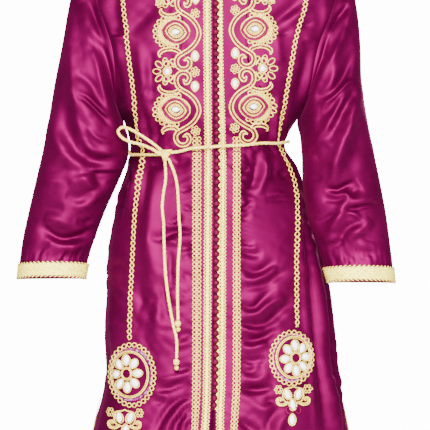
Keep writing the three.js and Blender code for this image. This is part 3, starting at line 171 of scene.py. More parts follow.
# Creases: depth (a ridge above zero), width, lean to one side, course as x z
# The front panels: the bodice, then the skirt
FRONT_CREASES = (
    (-5, 9, 0, (-165, -120), (-170, -158), (-165, -186), (-174, -203)),
    (4.5, 8, 0, (-184, -131), (-191, -157), (-186, -182), (-175, -198)),
    (-4, 3.5, 0, (-175, -199), (-163, -200), (-150, -198)),
    (3.5, 5, 0, (-174, -206), (-163, -208), (-150, -206)),
    (-7, 13, 0.2, (-91, -141), (-114, -163), (-134, -182), (-148, -203)),
    (5, 10, 0, (-131, -217), (-124, -251), (-120, -289), (-105, -361)),
    (-3.5, 6, 0, (-107, -234), (-107, -272), (-105, -313)),
    (-5.5, 8, 0, (-162, -244), (-158, -286), (-153, -323)),
    (5, 8, 0, (-172, -203), (-163, -237), (-153, -298), (-141, -349)),
    (-5, 6, 0, (-148, -334), (-143, -358), (-138, -389)),
    (-4, 5, 0, (-115, -334), (-114, -361), (-112, -397)),
    (4, 6, 0, (-127, -341), (-124, -365), (-124, -396)),
    (-3, 4, 0, (-96, -354), (-96, -375), (-98, -399)),
    (-6, 9, -0.2, (155, -138), (131, -160), (108, -179), (93, -193)),
    (4, 7, 0, (165, -151), (143, -170), (122, -187)),
    (-3.5, 4, 0, (112, -203), (122, -200), (134, -194)),
    (-4, 4, 0, (151, -184), (159, -186), (169, -180)),
    (-3.5, 4, 0, (153, -215), (163, -217), (174, -215)),
    (3, 4, 0, (155, -211), (174, -212)),
    (6, 8, 0.1, (192, -124), (192, -172), (190, -202), (182, -239), (172, -268), (161, -296), (150, -323)),
    (-6, 9, 0, (163, -220), (161, -241), (158, -265), (151, -294), (146, -316)),
    (4, 9, 0, (105, -200), (110, -224), (112, -255)),
    (-4.5, 5, 0, (98, -292), (99, -320), (98, -347), (95, -397)),
    (4, 5, 0, (110, -306), (108, -341), (103, -396)),
    (-3.5, 5, 0, (122, -320), (117, -354), (110, -392)),
    (3, 5, 0, (134, -299), (129, -334), (122, -378)),
    (-5.5, 7, 0, (-146, -423), (-155, -452), (-156, -478), (-161, -504), (-163, -533)),
    (5, 7, 0, (-138, -413), (-132, -447), (-144, -480), (-150, -507)),
    (-4.5, 5, 0, (-146, -430), (-143, -444), (-141, -458)),
    (6, 13, 0, (-95, -430), (-105, -485), (-107, -521), (-110, -557), (-103, -609), (-110, -650)),
    (-5, 7, 0, (-112, -416), (-115, -461), (-119, -509)),
    (-5, 5, 0, (-107, -425), (-98, -424), (-86, -427)),
    (-4.5, 6, 0, (-76, -411), (-58, -421), (-40, -418)),
    (-3.5, 4, 0, (-57, -470), (-36, -466)),
    (-4.5, 3.4, 0, (-53, -499), (-45, -500), (-35, -502)),
    (-4.5, 4, 0, (-76, -528), (-65, -521), (-52, -514)),
    (-7, 7, 0.2, (-108, -550), (-89, -551), (-69, -540), (-52, -538), (-36, -542)),
    (4.5, 4.5, 0, (-84, -531), (-64, -530), (-40, -531)),
    (4.5, 5, 0, (-81, -559), (-69, -556), (-57, -562)),
    (-6, 6, 0, (-60, -566), (-50, -567), (-35, -562)),
    (-3.5, 4, 0, (-55, -585), (-35, -580)),
    (-3.5, 4, 0, (-53, -617), (-35, -612)),
    (-4.5, 5, 0, (-72, -574), (-73, -605), (-71, -636)),
    (-3, 4, 0, (-157, -523), (-150, -518), (-141, -511)),
    (-3.5, 8, 0, (-170, -592), (-158, -602), (-148, -605)),
    (-4, 8, 0, (-132, -636), (-122, -652), (-127, -673)),
    (5, 9, 0, (-86, -650), (-95, -688), (-96, -726)),
    (-4.5, 8, 0, (-81, -616), (-84, -657), (-81, -698)),
    (-4, 6, 0, (-62, -721), (-50, -714), (-36, -710)),
    (3.5, 5, 0, (-64, -736), (-50, -731), (-36, -729)),
    (-4.5, 5, 0, (-67, -776), (-53, -771), (-38, -765)),
    (-6, 6, 0, (-96, -808), (-77, -807), (-58, -800), (-38, -796)),
    (5, 6, 0, (-98, -791), (-77, -789), (-57, -784), (-38, -779)),
    (-7, 6, 0.1, (-43, -815), (-64, -827), (-81, -845), (-95, -869), (-101, -888)),
    (6, 6, 0, (-40, -824), (-58, -843), (-74, -863), (-83, -888)),
    (-6, 5, 0, (-40, -835), (-52, -848), (-64, -869), (-69, -891)),
    (4.5, 5, 0, (-40, -848), (-48, -863), (-55, -888)),
    (-4.5, 4.5, 0, (-38, -860), (-45, -875), (-48, -894)),
    (4, 7, 0, (-105, -815), (-88, -817), (-71, -815)),
    (-4, 6, 0, (-105, -826), (-91, -827), (-81, -824)),
    (-3.5, 7, 0, (-120, -717), (-112, -736), (-101, -753)),
    (-4, 8, 0, (-182, -709), (-181, -746), (-186, -791)),
    (3.5, 8, 0, (-172, -657), (-174, -709), (-177, -746)),
    (-5.5, 4.5, 0, (95, -389), (101, -397), (109, -411)),
    (-4.5, 5, 0, (47, -440), (55, -435), (65, -431)),
    (-6, 9, 0, (77, -399), (74, -431), (66, -461), (50, -482)),
    (5, 7, 0, (90, -402), (89, -439), (77, -475)),
    (-3.5, 8, 0, (104, -409), (103, -430), (102, -451)),
    (-5.5, 6, 0, (114, -435), (120, -440), (129, -445)),
    (-4.5, 3.2, 0, (91, -486), (100, -483), (112, -483), (132, -484)),
    (3, 4, 0, (93, -480), (110, -476), (131, -478)),
    (-5.5, 5, 0, (47, -502), (57, -496), (69, -490)),
    (4, 4, 0, (47, -492), (58, -486)),
    (-3.5, 4, 0, (47, -519), (57, -514), (65, -509)),
    (-4.5, 4, 0, (46, -556), (57, -559), (69, -561)),
    (-6, 5, 0, (46, -570), (64, -577), (84, -579)),
    (4, 4, 0, (46, -563), (64, -568), (77, -569)),
    (-7, 7, 0.15, (46, -596), (63, -607), (81, -607), (107, -588)),
    (6, 5, 0, (46, -619), (67, -623), (81, -617), (110, -601)),
    (-6, 7, 0, (46, -636), (71, -633), (92, -629), (117, -611), (139, -604)),
    (-7, 7, 0, (46, -662), (60, -669), (71, -669), (87, -652), (107, -633)),
    (5, 6, 0, (46, -679), (71, -679), (92, -664), (124, -652)),
    (-8, 8, 0.1, (46, -693), (71, -699), (92, -695), (114, -677), (138, -657)),
    (4, 4, 0, (46, -702), (67, -709), (87, -705)),
    (-9, 7, 0, (46, -718), (67, -725), (90, -718), (110, -705)),
    (6, 6, 0, (46, -735), (67, -737), (93, -728)),
    (-7, 6, 0, (46, -753), (67, -760), (89, -754)),
    (-5.5, 5, 0, (46, -768), (64, -777), (79, -765)),
    (5, 7, 0, (46, -789), (74, -791), (95, -783)),
    (-8, 6, 0.15, (46, -806), (71, -809), (103, -803)),
    (-4.5, 4, 0, (89, -825), (107, -829)),
    (5, 8, 0, (50, -819), (71, -834), (88, -841), (108, -836)),
    (-7, 7, 0, (46, -858), (58, -869), (79, -884)),
    (-5, 6, 0, (110, -836), (95, -861), (91, -884)),
    (5, 7, 0, (132, -846), (114, -865), (108, -891)),
    (4, 5, 0, (148, -509), (151, -571), (157, -657), (164, -734), (172, -829), (175, -884)),
    (-13, 9, 0.25, (158, -495), (162, -540), (169, -592), (174, -657), (181, -734), (189, -829), (193, -888)),
    (5, 8, 0, (198, -605), (203, -674), (208, -743), (215, -812), (220, -881)),
    (-4, 6, 0, (196, -709), (201, -753), (206, -802)),
)
# The right sleeve, from the shoulder to the cuff
SLEEVE_RIGHT_CREASES = (
    (3, 7, 0, (-253, -155), (-249, -193), (-246, -239), (-241, -289), (-236, -334), (-229, -382)),
    (6, 14, 0, (-225, -144), (-215, -182), (-201, -201), (-182, -220)),
    (-6, 7, 0, (-210, -141), (-198, -182), (-179, -224)),
    (-8, 10, -0.2, (-212, -220), (-201, -215), (-189, -229), (-182, -248), (-175, -273), (-170, -299),
                  (-160, -332), (-151, -361)),
    (6, 9, 0.2, (-208, -227), (-200, -244), (-193, -273), (-184, -306), (-177, -330)),
    (-5, 8, 0, (-236, -267), (-222, -275), (-208, -289), (-200, -308), (-187, -329)),
    (5, 5, 0, (-232, -304), (-215, -310), (-201, -322), (-184, -337), (-172, -332)),
    (-5.5, 5, 0.2, (-234, -313), (-225, -310), (-210, -322), (-196, -337), (-175, -361)),
    (-10, 12, 0.15, (-256, -303), (-260, -334), (-259, -356), (-251, -378), (-236, -401), (-218, -414),
                  (-200, -419), (-177, -417), (-153, -408)),
    (6, 9, 0, (-239, -335), (-227, -365), (-217, -385), (-203, -401), (-184, -406), (-162, -396)),
    (-3.5, 4, 0, (-220, -372), (-213, -387), (-200, -401)),
    (4, 5, 0, (-218, -361), (-200, -378), (-174, -385)),
    (6, 13, 0, (-286, -344), (-273, -378), (-256, -402), (-239, -421), (-222, -430)),
    (4, 7, 0, (-212, -430), (-194, -433), (-177, -433), (-157, -432)),
    (-4, 4, 0, (-213, -440), (-194, -440), (-162, -439)),
    (-4, 12, 0, (-291, -435), (-267, -430), (-246, -432), (-225, -439)),
    (6, 11, 0, (-218, -440), (-215, -452), (-208, -468)),
    (4, 9, 0, (-218, -445), (-232, -452), (-248, -458)),
    (-5, 9, 0, (-208, -442), (-198, -449), (-187, -458)),
    (-6, 11, 0, (-253, -476), (-232, -482), (-208, -478)),
    (2.5, 4, 0, (-306, -452), (-284, -452), (-260, -454)),
    (6, 9, 0, (-174, -463), (-198, -475), (-215, -490), (-239, -502)),
    (-4.5, 10, 0, (-311, -502), (-287, -499), (-256, -502)),
    (7, 12, 0, (-291, -518), (-263, -523), (-236, -535), (-215, -533)),
    (-4.5, 6, 0, (-234, -523), (-218, -525), (-205, -519)),
    (-10, 7, -0.2, (-299, -526), (-283, -542), (-267, -552), (-249, -554), (-229, -549), (-211, -540),
                  (-191, -531)),
    (4, 8, 0, (-291, -554), (-270, -564), (-243, -566), (-215, -556)),
    (-4, 7, 0, (-280, -559), (-297, -574), (-310, -588)),
    (5, 8, 0, (-260, -573), (-232, -569), (-205, -557)),
    (-3, 3, 0, (-291, -592), (-282, -581)),
    (-3.5, 3, 0, (-277, -592), (-261, -581)),
    (3, 2.6, 0, (-270, -592), (-256, -583)),
    (-3.5, 3, 0, (-263, -592), (-246, -581)),
    (-3, 3, 0, (-248, -592), (-237, -583)),
    (-3, 3, 0, (-229, -592), (-222, -585)),
    (-2.5, 3, 0, (-315, -592), (-310, -583)),
)
# The left sleeve, from the shoulder to the cuff
SLEEVE_LEFT_CREASES = (
    (-8, 6, 0.2, (230, -146), (227, -155), (218, -164), (209, -176), (199, -194)),
    (-3, 3, 0, (212, -141), (208, -155), (206, -167)),
    (8, 9, 0, (243, -141), (233, -169), (227, -192), (221, -209), (209, -233), (195, -255), (185, -282)),
    (-7, 5, 0, (198, -193), (187, -241), (178, -267), (166, -298), (153, -334)),
    (-4, 4, 0, (186, -242), (200, -239)),
    (-3, 4, 0, (227, -194), (237, -190), (251, -187)),
    (2.5, 3.5, 0, (229, -189), (249, -182)),
    (-2.5, 4, 0, (229, -218), (239, -216), (251, -213)),
    (6, 9, 0, (213, -215), (209, -236), (207, -261), (202, -284), (194, -296), (182, -308)),
    (-9, 9, -0.15, (243, -220), (233, -252), (224, -273), (215, -288), (202, -304), (190, -311), (175, -312)),
    (7, 5, 0.1, (172, -315), (192, -316), (207, -307), (221, -293), (232, -284), (244, -287)),
    (-8, 8, 0, (243, -296), (232, -315), (224, -330), (218, -345), (206, -368), (196, -389)),
    (-5, 8, 0, (215, -313), (200, -329), (187, -342), (175, -361)),
    (8, 9, 0.1, (249, -279), (249, -302), (241, -325), (233, -348), (227, -372), (220, -387), (211, -417),
                  (206, -444), (198, -464)),
    (4.5, 6, 0, (229, -299), (215, -322), (202, -345), (192, -364), (175, -384)),
    (-4, 6, 0, (148, -330), (163, -342)),
    (-4, 14, 0, (255, -365), (249, -399), (239, -427), (248, -451)),
    (-9, 6, -0.2, (189, -468), (211, -469), (225, -462), (248, -452)),
    (6, 5, 0, (189, -471), (208, -476), (224, -474), (234, -480)),
    (-4.5, 5, 0, (186, -484), (211, -486), (230, -479)),
    (7, 8, 0, (234, -476), (222, -498), (208, -526), (187, -554)),
    (-7, 7, 0, (232, -478), (241, -471), (253, -461)),
    (-7, 5, 0, (175, -526), (199, -514), (217, -504)),
    (-8, 4.5, 0.3, (224, -505), (250, -499), (271, -495), (296, -496)),
    (6, 9, 0, (234, -488), (256, -488), (284, -483)),
    (5, 4, 0, (224, -506), (239, -509), (253, -519)),
    (-6.5, 7, 0, (253, -521), (232, -533), (220, -545), (210, -561)),
    (7, 10, 0, (268, -518), (246, -542), (230, -559)),
    (-6.5, 6, 0, (184, -574), (202, -566), (220, -558)),
    (-4.5, 5, 0, (236, -561), (253, -551), (275, -556), (296, -561)),
    (-5.5, 6, 0, (248, -576), (271, -580), (286, -578)),
    (5, 7, 0, (187, -559), (205, -554), (215, -547)),
    (-4, 9, 0, (160, -402), (177, -392), (194, -387)),
    (3, 7, 0, (160, -416), (177, -409)),
    (-3.5, 5, 0, (158, -459), (174, -452), (184, -444)),
    (-2.5, 3, 0, (222, -581), (234, -590), (243, -599)),
    (-3, 3, 0, (206, -599), (213, -588)),
    (-3, 3, 0, (227, -602), (230, -592)),
    (-3, 3, 0, (256, -600), (263, -590)),
    (2.5, 3, 0, (215, -599), (224, -588)),
    (-2.5, 3, 0, (279, -602), (284, -593)),
)

# The same kinds of crease on the back, where the photograph shows none
BACK_CREASES = (
    (-6, 12, 0.2, (150, -150), (128, -190), (96, -232)), (6, 10, 0, (158, -180), (132, -228), (104, -276)),
    (-5, 9, 0, (160, -232), (136, -276), (118, -330)), (5, 10, 0, (-156, -160), (-128, -206), (-98, -258)),
    (-7, 11, -0.2, (-160, -190), (-134, -240), (-112, -296)),
    (-4, 8, 0, (-150, -262), (-126, -306), (-112, -352)),
    (-5, 9, 0, (-64, -236), (-58, -300), (-62, -372)), (5, 9, 0, (-28, -250), (-30, -318), (-34, -380)),
    (-5, 8, 0, (16, -262), (14, -320), (18, -384)), (4.5, 9, 0, (52, -242), (50, -306), (46, -378)),
    (-4, 10, 0, (-70, -92), (0, -104), (74, -90)), (3, 12, 0, (-88, -128), (-8, -142), (84, -126)),
    (-6, 9, 0, (-92, -420), (-86, -500), (-94, -600)), (6, 11, 0, (-52, -424), (-60, -540), (-52, -680)),
    (-5, 8, 0, (-14, -420), (-10, -520), (-20, -636)), (6, 10, 0, (30, -426), (24, -560), (34, -730)),
    (-6, 9, 0, (72, -420), (80, -520), (70, -640)), (5, 10, 0, (112, -440), (120, -560), (114, -690)),
    (-4.5, 8, 0, (-140, -520), (-110, -560), (-70, -572)), (-5, 7, 0.1, (140, -600), (96, -640), (48, -650)),
    (4.5, 7, 0, (136, -580), (92, -618), (50, -630)), (-4, 9, 0, (-130, -740), (-70, -770), (-10, -760)),
    (-4.5, 8, 0, (24, -830), (80, -846), (140, -820)), (4, 9, 0, (-150, -860), (-96, -880), (-40, -868)),
)

# Height and width, in degrees, of the gathers that the belt draws up all round the waist
WAIST_GATHERS = (
    (-168, 4, -2.6), (-157, 3.6, 2.4), (-146, 4.4, -3), (-134, 3.4, 2.6), (-124, 4, -2.4), (-113, 4.6, 2.6),
    (-101, 3.6, -2.8), (-90, 4, 2.2), (-79, 3.4, -2.6), (-70, 3, 2), (-61, 3.4, -2.4), (-52, 3, 2.2),
    (-43, 3, -2), (-34, 2.6, 1.6), (-25, 2.4, -1.2), (26, 2.4, -1.2), (35, 2.8, 1.8), (43, 3, -2.4),
    (52, 3.4, 2.6), (62, 3, -2.6), (71, 3.6, 2.4), (83, 6, -2.4), (94, 4, -1.6), (106, 3.4, 2.4),
    (114, 4, 2.4), (125, 3.6, -2.8), (137, 4.4, 2.8), (149, 3.6, -2.6), (160, 4, 2.4), (172, 3.4, -2.4),
)

# Places of the embroidery on the front: eyes, flowers, medallions and drop stones
EYES = {
    "upper_right": (-72, -199, -64), "lower_right": (-71, -331, -64),
    "upper_left": (79, -194, 71), "lower_left": (76, -326, 69),
}
FLOWERS = {
    "upper_right": (-78, -134), "lower_right": (-78, -266),
    "upper_left": (84, -129), "lower_left": (84, -261),
}
MEDALLIONS = {
    "right": {"outer": (-138, -784, 42, 56), "inner": (-142, -783, 32.5, 39.5), "flower": (-147, -782, 18, 23)},
    "left": {"outer": (133, -755, 39, 48), "inner": (136.5, -754, 30, 35.5), "flower": (140, -755, 17.5, 21.5)},
}
STONES = {
    "stone_1_right": (-159, -856, 24), "stone_2_right": (-141, -856, -24), "stone_3_right": (-149, -877, 0),
    "stone_1_left": (126, -816, 24), "stone_2_left": (145, -816, -24), "stone_3_left": (135, -834, 0),
    "stone_4_left": (133.5, -859, 0),
}
# S scrolls of the couched cord on the right: middles of both spirals, and how far in the wave reaches
S_SCROLLS = (((-49, -146), (-50, -250), -24), ((-49.5, -277.5), (-51.5, -379), -24))
TOP_SCROLL = ((-47, -125), (82, -290), (21, 8))
# Arched hooks beside them: start, whether they rise or sink, and size
HOOKS = ((-56, -238, 1, 1), (-56, -293, -1, 1), (-56, -162, -1, 0.95), (-60, -112, 1, 0.95), (-60, -368, 1, 0.7))
ROSETTES = ((-31, -167), (-31, -267), (-30, -367), (-92, -148))
PEARLS = ((-31, -240, 1), (-31, -292, -1), (-30, -142, -1))

BELT_KNOT = (-82.6, -95.5, -406.9)
# The small knots that end the two tails
TAIL_KNOTS = {1: (-62.7, -145.3, -760.6), 2: (-60.1, -146.4, -695.2)}

# Studio: picture and floor in metres, light of the backdrop as the camera and as the cloth sees it
SENSOR_MM = 36
CAMERA_X, CAMERA_Z, CHEST_DEPTH = 0.003, -0.511, 0.06
FLOOR_Z, FLOOR_RADIUS = -1.45, 2.4
BACKDROP_SEEN, BACKDROP_LIGHT = 14.0, 0.22
# Name, place, aim, width, height, watts of each lamp
LAMPS = (
    ("Key", (-0.1, -3.8, 1.65), (0, 0, -0.5), 1.9, 1.75, 720.0),
    ("Front fill", (0.25, -4.0, -0.5), (0, 0, -0.55), 1.8, 1.7, 350.0),
    ("Rim left", (3.0, 1.4, 0.8), (0, 0, -0.5), 1.2, 2.0, 4.0),
    ("Back fill", (0.6, 4.2, 0.6), (0, 0, -0.5), 2.4, 2.0, 420.0),
    ("Rim right", (-3.0, 1.4, 0.8), (0, 0, -0.5), 1.2, 2.0, 4.0),
)

# Routes of the belt cords, in metres
BELT_ROUTES = {
    "belt_waist": [
        (-0.0729, -0.0969, -0.4043), (-0.0556, -0.1016, -0.4018), (-0.0385, -0.1075, -0.3973),
        (-0.0209, -0.1095, -0.3959), (-0.0035, -0.1145, -0.3948), (0.0125, -0.1143, -0.3935),
        (0.0279, -0.1093, -0.3926), (0.0433, -0.1055, -0.3921), (0.0585, -0.1005, -0.3909),
        (0.0722, -0.0924, -0.3891), (0.0857, -0.0846, -0.3878), (0.1, -0.0775, -0.3879),
        (0.1109, -0.0665, -0.3877), (0.1197, -0.0543, -0.3863), (0.1264, -0.0414, -0.3852),
        (0.13, -0.0279, -0.3843), (0.13, -0.0143, -0.3834), (0.131, -0.0015, -0.3833),
        (0.131, 0.0103, -0.3833), (0.1299, 0.0216, -0.3834), (0.1273, 0.033, -0.3836),
        (0.1228, 0.0443, -0.3839), (0.1162, 0.0549, -0.3843), (0.1075, 0.0648, -0.3848),
        (0.0968, 0.0734, -0.3854), (0.0845, 0.0806, -0.3862), (0.0708, 0.0864, -0.387),
        (0.0563, 0.0906, -0.388), (0.0413, 0.0935, -0.389), (0.0261, 0.0952, -0.3901),
        (0.011, 0.0959, -0.3911), (-0.0045, 0.096, -0.3921), (-0.0217, 0.0956, -0.3931),
        (-0.039, 0.0944, -0.3941), (-0.0561, 0.0921, -0.395), (-0.0729, 0.0886, -0.3959),
        (-0.0889, 0.0836, -0.3968), (-0.1036, 0.0772, -0.3976), (-0.1165, 0.0693, -0.3984),
        (-0.1274, 0.0601, -0.3991), (-0.1359, 0.0498, -0.3997), (-0.1421, 0.0388, -0.4003),
        (-0.146, 0.0274, -0.4008), (-0.148, 0.0159, -0.4011), (-0.1485, 0.0045, -0.4013),
        (-0.1481, -0.008, -0.4015), (-0.1463, -0.0209, -0.4022), (-0.1452, -0.0347, -0.404),
        (-0.1408, -0.0486, -0.4068), (-0.1322, -0.0615, -0.4071), (-0.121, -0.0736, -0.4071),
        (-0.107, -0.0833, -0.4074), (-0.0907, -0.09, -0.4075),
    ],
    "belt_bow": [
        (-0.0872, -0.102, -0.4018), (-0.093, -0.1044, -0.3969), (-0.0988, -0.1068, -0.3921),
        (-0.105, -0.1081, -0.3873), (-0.1115, -0.1081, -0.3827), (-0.1181, -0.1073, -0.3784),
        (-0.1247, -0.1061, -0.3742), (-0.1313, -0.1043, -0.3701), (-0.1378, -0.1019, -0.3664),
        (-0.1447, -0.0994, -0.3633), (-0.1519, -0.0968, -0.361), (-0.159, -0.0943, -0.3621),
        (-0.163, -0.093, -0.3685), (-0.1594, -0.0935, -0.3754), (-0.1535, -0.0948, -0.3806),
        (-0.1466, -0.0964, -0.384), (-0.1392, -0.098, -0.3866), (-0.1316, -0.0994, -0.3884),
        (-0.124, -0.1007, -0.3903), (-0.1166, -0.1018, -0.3929), (-0.1093, -0.1026, -0.3959),
        (-0.1022, -0.103, -0.3995), (-0.0958, -0.1026, -0.4041), (-0.0896, -0.102, -0.409),
    ],
    "belt_tail_1": [
        (-0.0828, -0.0972, -0.4156), (-0.0819, -0.1001, -0.4286), (-0.0811, -0.1027, -0.4419),
        (-0.0818, -0.1054, -0.4552), (-0.0841, -0.1081, -0.4682), (-0.0858, -0.111, -0.4813),
        (-0.0869, -0.1136, -0.4944), (-0.0864, -0.1162, -0.5075), (-0.0848, -0.1189, -0.5206),
        (-0.0843, -0.1212, -0.5337), (-0.0841, -0.123, -0.5469), (-0.0836, -0.1248, -0.56),
        (-0.0831, -0.1265, -0.5731), (-0.0826, -0.1279, -0.5862), (-0.0819, -0.1293, -0.5993),
        (-0.081, -0.1308, -0.6124), (-0.0797, -0.1322, -0.6254), (-0.0781, -0.1338, -0.6384),
        (-0.0763, -0.1355, -0.6514), (-0.0742, -0.1368, -0.6644), (-0.0719, -0.1379, -0.6772),
        (-0.0693, -0.139, -0.6901), (-0.0666, -0.1399, -0.7029), (-0.0634, -0.1408, -0.7156),
        (-0.0618, -0.1417, -0.7286), (-0.0619, -0.1425, -0.7417), (-0.0622, -0.1433, -0.7548),
    ],
    "belt_tail_2": [
        (-0.0767, -0.0991, -0.414), (-0.0715, -0.1023, -0.4263), (-0.0665, -0.1054, -0.439),
        (-0.0631, -0.1097, -0.452), (-0.0611, -0.1138, -0.4651), (-0.0601, -0.1168, -0.4784),
        (-0.0593, -0.1196, -0.4916), (-0.0588, -0.1221, -0.5049), (-0.0582, -0.1242, -0.5181),
        (-0.057, -0.1264, -0.5313), (-0.0564, -0.1283, -0.5445), (-0.0569, -0.1302, -0.5577),
        (-0.058, -0.1318, -0.5709), (-0.0591, -0.1334, -0.584), (-0.0597, -0.135, -0.5972),
        (-0.0602, -0.1365, -0.6104), (-0.0604, -0.138, -0.6235), (-0.0606, -0.1396, -0.6367),
        (-0.0606, -0.1409, -0.6499), (-0.0604, -0.1422, -0.663), (-0.06, -0.1434, -0.6762),
        (-0.0596, -0.1444, -0.6894),
    ],
}

# ---------------------------- shape of the cloth


def ease(value):
    """Smooth step from 0 to 1."""
    value = np.clip(value, 0, 1)
    return value * value * (3 - 2 * value)


def look_up(keys, values, at):
    """Smooth curve through a table, read at one place or many."""
    keys, values, at = np.asarray(keys, float), np.asarray(values, float), np.asarray(at, float)
    if keys[-1] < keys[0]:
        keys, at = -keys, -at
    last = len(keys) - 1
    low, high = np.maximum(np.arange(last + 1) - 1, 0), np.minimum(np.arange(last + 1) + 1, last)
    slope = (values[high] - values[low]) / (keys[high] - keys[low])
    i = np.clip(np.searchsorted(keys, at, side="right") - 1, 0, last - 1)
    span = keys[i + 1] - keys[i]
    t = np.clip((at - keys[i]) / span, 0, 1)
    bend = (t**3 - 2 * t**2 + t) * span * slope[i] + (t**3 - t**2) * span * slope[i + 1]
    return values[i] + (values[i + 1] - values[i]) * t * t * (3 - 2 * t) + bend


def skirt_relief(angle, z):
    """The large upright folds of the skirt, which the solids have too."""
    total = np.zeros(np.broadcast(angle, z).shape)
    for at, width, depth, top in SKIRT_FOLDS:
        apart = np.abs((angle - at + 540) % 360 - 180)
        total += depth * ease((top - z) / 260) * np.exp(-((apart / width) ** 2))
    return total


def body_points(turn, z):
    """Outside of the body at angles from the centre front, the left side at 90 degrees."""
    turn, z = np.broadcast_arrays(np.asarray(turn, float), np.asarray(z, float))
    angle = np.where(turn > 180, turn - 360, turn)
    left = angle >= 0
    s, c = np.abs(np.sin(np.radians(angle))), np.cos(np.radians(angle))
    power = look_up(BODY_Z, POWER, z)
    k = (s**power + np.abs(c) ** power) ** (-1 / power)
    half = np.where(left, look_up(BODY_Z, HALF_LEFT, z), look_up(BODY_Z, HALF_RIGHT, z))
    depth = np.where(c > 0, look_up(BODY_Z, DEPTH_FRONT, z), look_up(BODY_Z, DEPTH_BACK, z))
    shift = np.where(left, look_up(BODY_Z, SHIFT_LEFT, z), look_up(BODY_Z, SHIFT_RIGHT, z))
    x = np.where(left, 1, -1) * half * k * s
    y = -depth * k * c + shift * (k * s) ** 2
    out = np.hypot(x / half, y / depth) * np.hypot(half, depth)
    relief = skirt_relief(angle, z) * 1.4
    return np.stack([x + relief * x / out, y + relief * y / out, z], -1)


def body_normals(angle, z):
    """Ways out of the body's surface."""
    across = body_points(angle + 0.5, z) - body_points(angle - 0.5, z)
    low = np.minimum(z + 1.5, 0)
    up = body_points(angle, low) - body_points(angle, low - 3)
    normal = np.cross(across, up)
    return normal / np.linalg.norm(normal, axis=-1, keepdims=True)


def angle_at(x, z):
    """Angle of the front that lies at x in the front view."""
    x, z = np.broadcast_arrays(np.asarray(x, float), np.asarray(z, float))
    power = look_up(BODY_Z, POWER, z)
    half = np.where(x >= 0, look_up(BODY_Z, HALF_LEFT, z), look_up(BODY_Z, HALF_RIGHT, z))
    aim = x.copy()
    for _ in range(4):
        s = np.minimum(np.abs(aim) / half, 0.9999)
        angle = np.sign(aim) * np.degrees(np.arctan2(s, (1 - s**power) ** (1 / power)))
        aim = aim + (x - body_points(angle, z)[..., 0])
    return angle


def half_width(flat, z):
    """Half of the body's width on the side where flat lies."""
    return np.where(flat >= 0, look_up(BODY_Z, HALF_LEFT, z), look_up(BODY_Z, HALF_RIGHT, z))


def along_course(places, step):
    """Evenly spaced points on a smooth line through places, and how far along it each one lies."""
    places = np.asarray(places, float)
    reach = np.concatenate([[0], np.cumsum(np.linalg.norm(np.diff(places, axis=0), axis=1))])
    fine = np.linspace(0, reach[-1], max(8 * len(places), 64))
    line = np.stack([look_up(reach, places[:, k], fine) for k in range(places.shape[1])], -1)
    length = np.concatenate([[0], np.cumsum(np.linalg.norm(np.diff(line, axis=0), axis=1))])
    even = np.linspace(0, length[-1], max(int(round(length[-1] / step)), 3) + 1)
    return np.stack([np.interp(even, length, line[:, k]) for k in range(line.shape[1])], -1), even


def crease_depth(creases, x, z):
    """Sum of the listed creases at places of the front view."""
    total = np.zeros(x.shape)
    for depth, width, lean, *course in creases:
        line, even = along_course(course, 7.0)
        reach = 2.6 * width
        low, high = line.min(0) - reach, line.max(0) + reach
        near = (x > low[0]) & (x < high[0]) & (z > low[1]) & (z < high[1])
        if not near.any():
            continue
        start, run = line[:-1], np.diff(line, axis=0)
        square = (run**2).sum(1)
        px, pz = x[near][:, None] - start[:, 0], z[near][:, None] - start[:, 1]
        t = np.clip((px * run[:, 0] + pz * run[:, 1]) / square, 0, 1)
        ox, oz = px - t * run[:, 0], pz - t * run[:, 1]
        apart = ox**2 + oz**2
        k = apart.argmin(1)
        row = np.arange(len(k))
        side = np.sign(run[k, 0] * oz[row, k] - run[k, 1] * ox[row, k])
        share = (even[k] + t[row, k] * np.diff(even)[k]) / even[-1]
        wide = width * (1 + lean * side)
        taper = np.sin(np.pi * np.clip(share, 0, 1)) ** 0.6
        total[near] += depth * taper * np.exp(-apart[row, k] / wide**2)
    return total


def drift(x, z, size, seed):
    """Gentle unevenness from a few slow waves that never line up."""
    total = np.zeros(np.broadcast(x, z).shape)
    for n in range(5):
        turn = seed * 1.7 + n * 2.399
        wave = size * (1 + 0.37 * n)
        total += np.sin((x * math.cos(turn) + z * math.sin(turn)) / wave + seed + 3.1 * n) / (1 + 0.4 * n)
    return total


def crumple(x, z, seed):
    """Small sharp creases in patches, with smooth cloth between them."""
    patches = np.clip(0.5 + 0.45 * drift(x, z, 28, seed + 3), 0, 1.2)
    small = np.abs(drift(x, z * 1.5, 6.5, seed)) + 0.45 * np.abs(drift(x * 1.3, z, 4.2, seed + 1))
    return patches * (small - 1.15)


def gathers(angle, z):
    """Short upright gathers above and below the belt, of uneven reach."""
    total = np.zeros(np.broadcast(angle, z).shape)
    for n, (at, width, depth) in enumerate(WAIST_GATHERS):
        apart = np.abs((angle - at + 540) % 360 - 180)
        up, down = 34 + 13 * math.sin(n * 2.1), 44 + 22 * math.sin(n * 1.3 + 1)
        away = np.where(z > BELT_Z, (z - BELT_Z) / up, (BELT_Z - z) / down)
        near = 1 - 0.55 * np.exp(-((z - BELT_Z) / 9) ** 2)
        total += depth * np.exp(-((apart / width) ** 2)) * np.exp(-(away**2)) * near
    return total


def calm(x, z):
    """Share of the folds left where stiff trims lie on the cloth."""
    strip = np.exp(-(np.maximum(np.abs(x - 4) - np.where(z < -400, 34, 60), 0) / 8) ** 2)
    still = np.where(z < -400, 0.38, 0.3) * strip * ease((-95 - z) / 20)
    for spot in MEDALLIONS.values():
        mx, mz, wide, tall = spot["outer"]
        apart = np.sqrt(((x - mx) / (wide + 4)) ** 2 + ((z - mz) / (tall + 4)) ** 2)
        still = np.maximum(still, 0.8 * (1 - ease((apart - 0.85) / 0.3)))
    return 1 - still


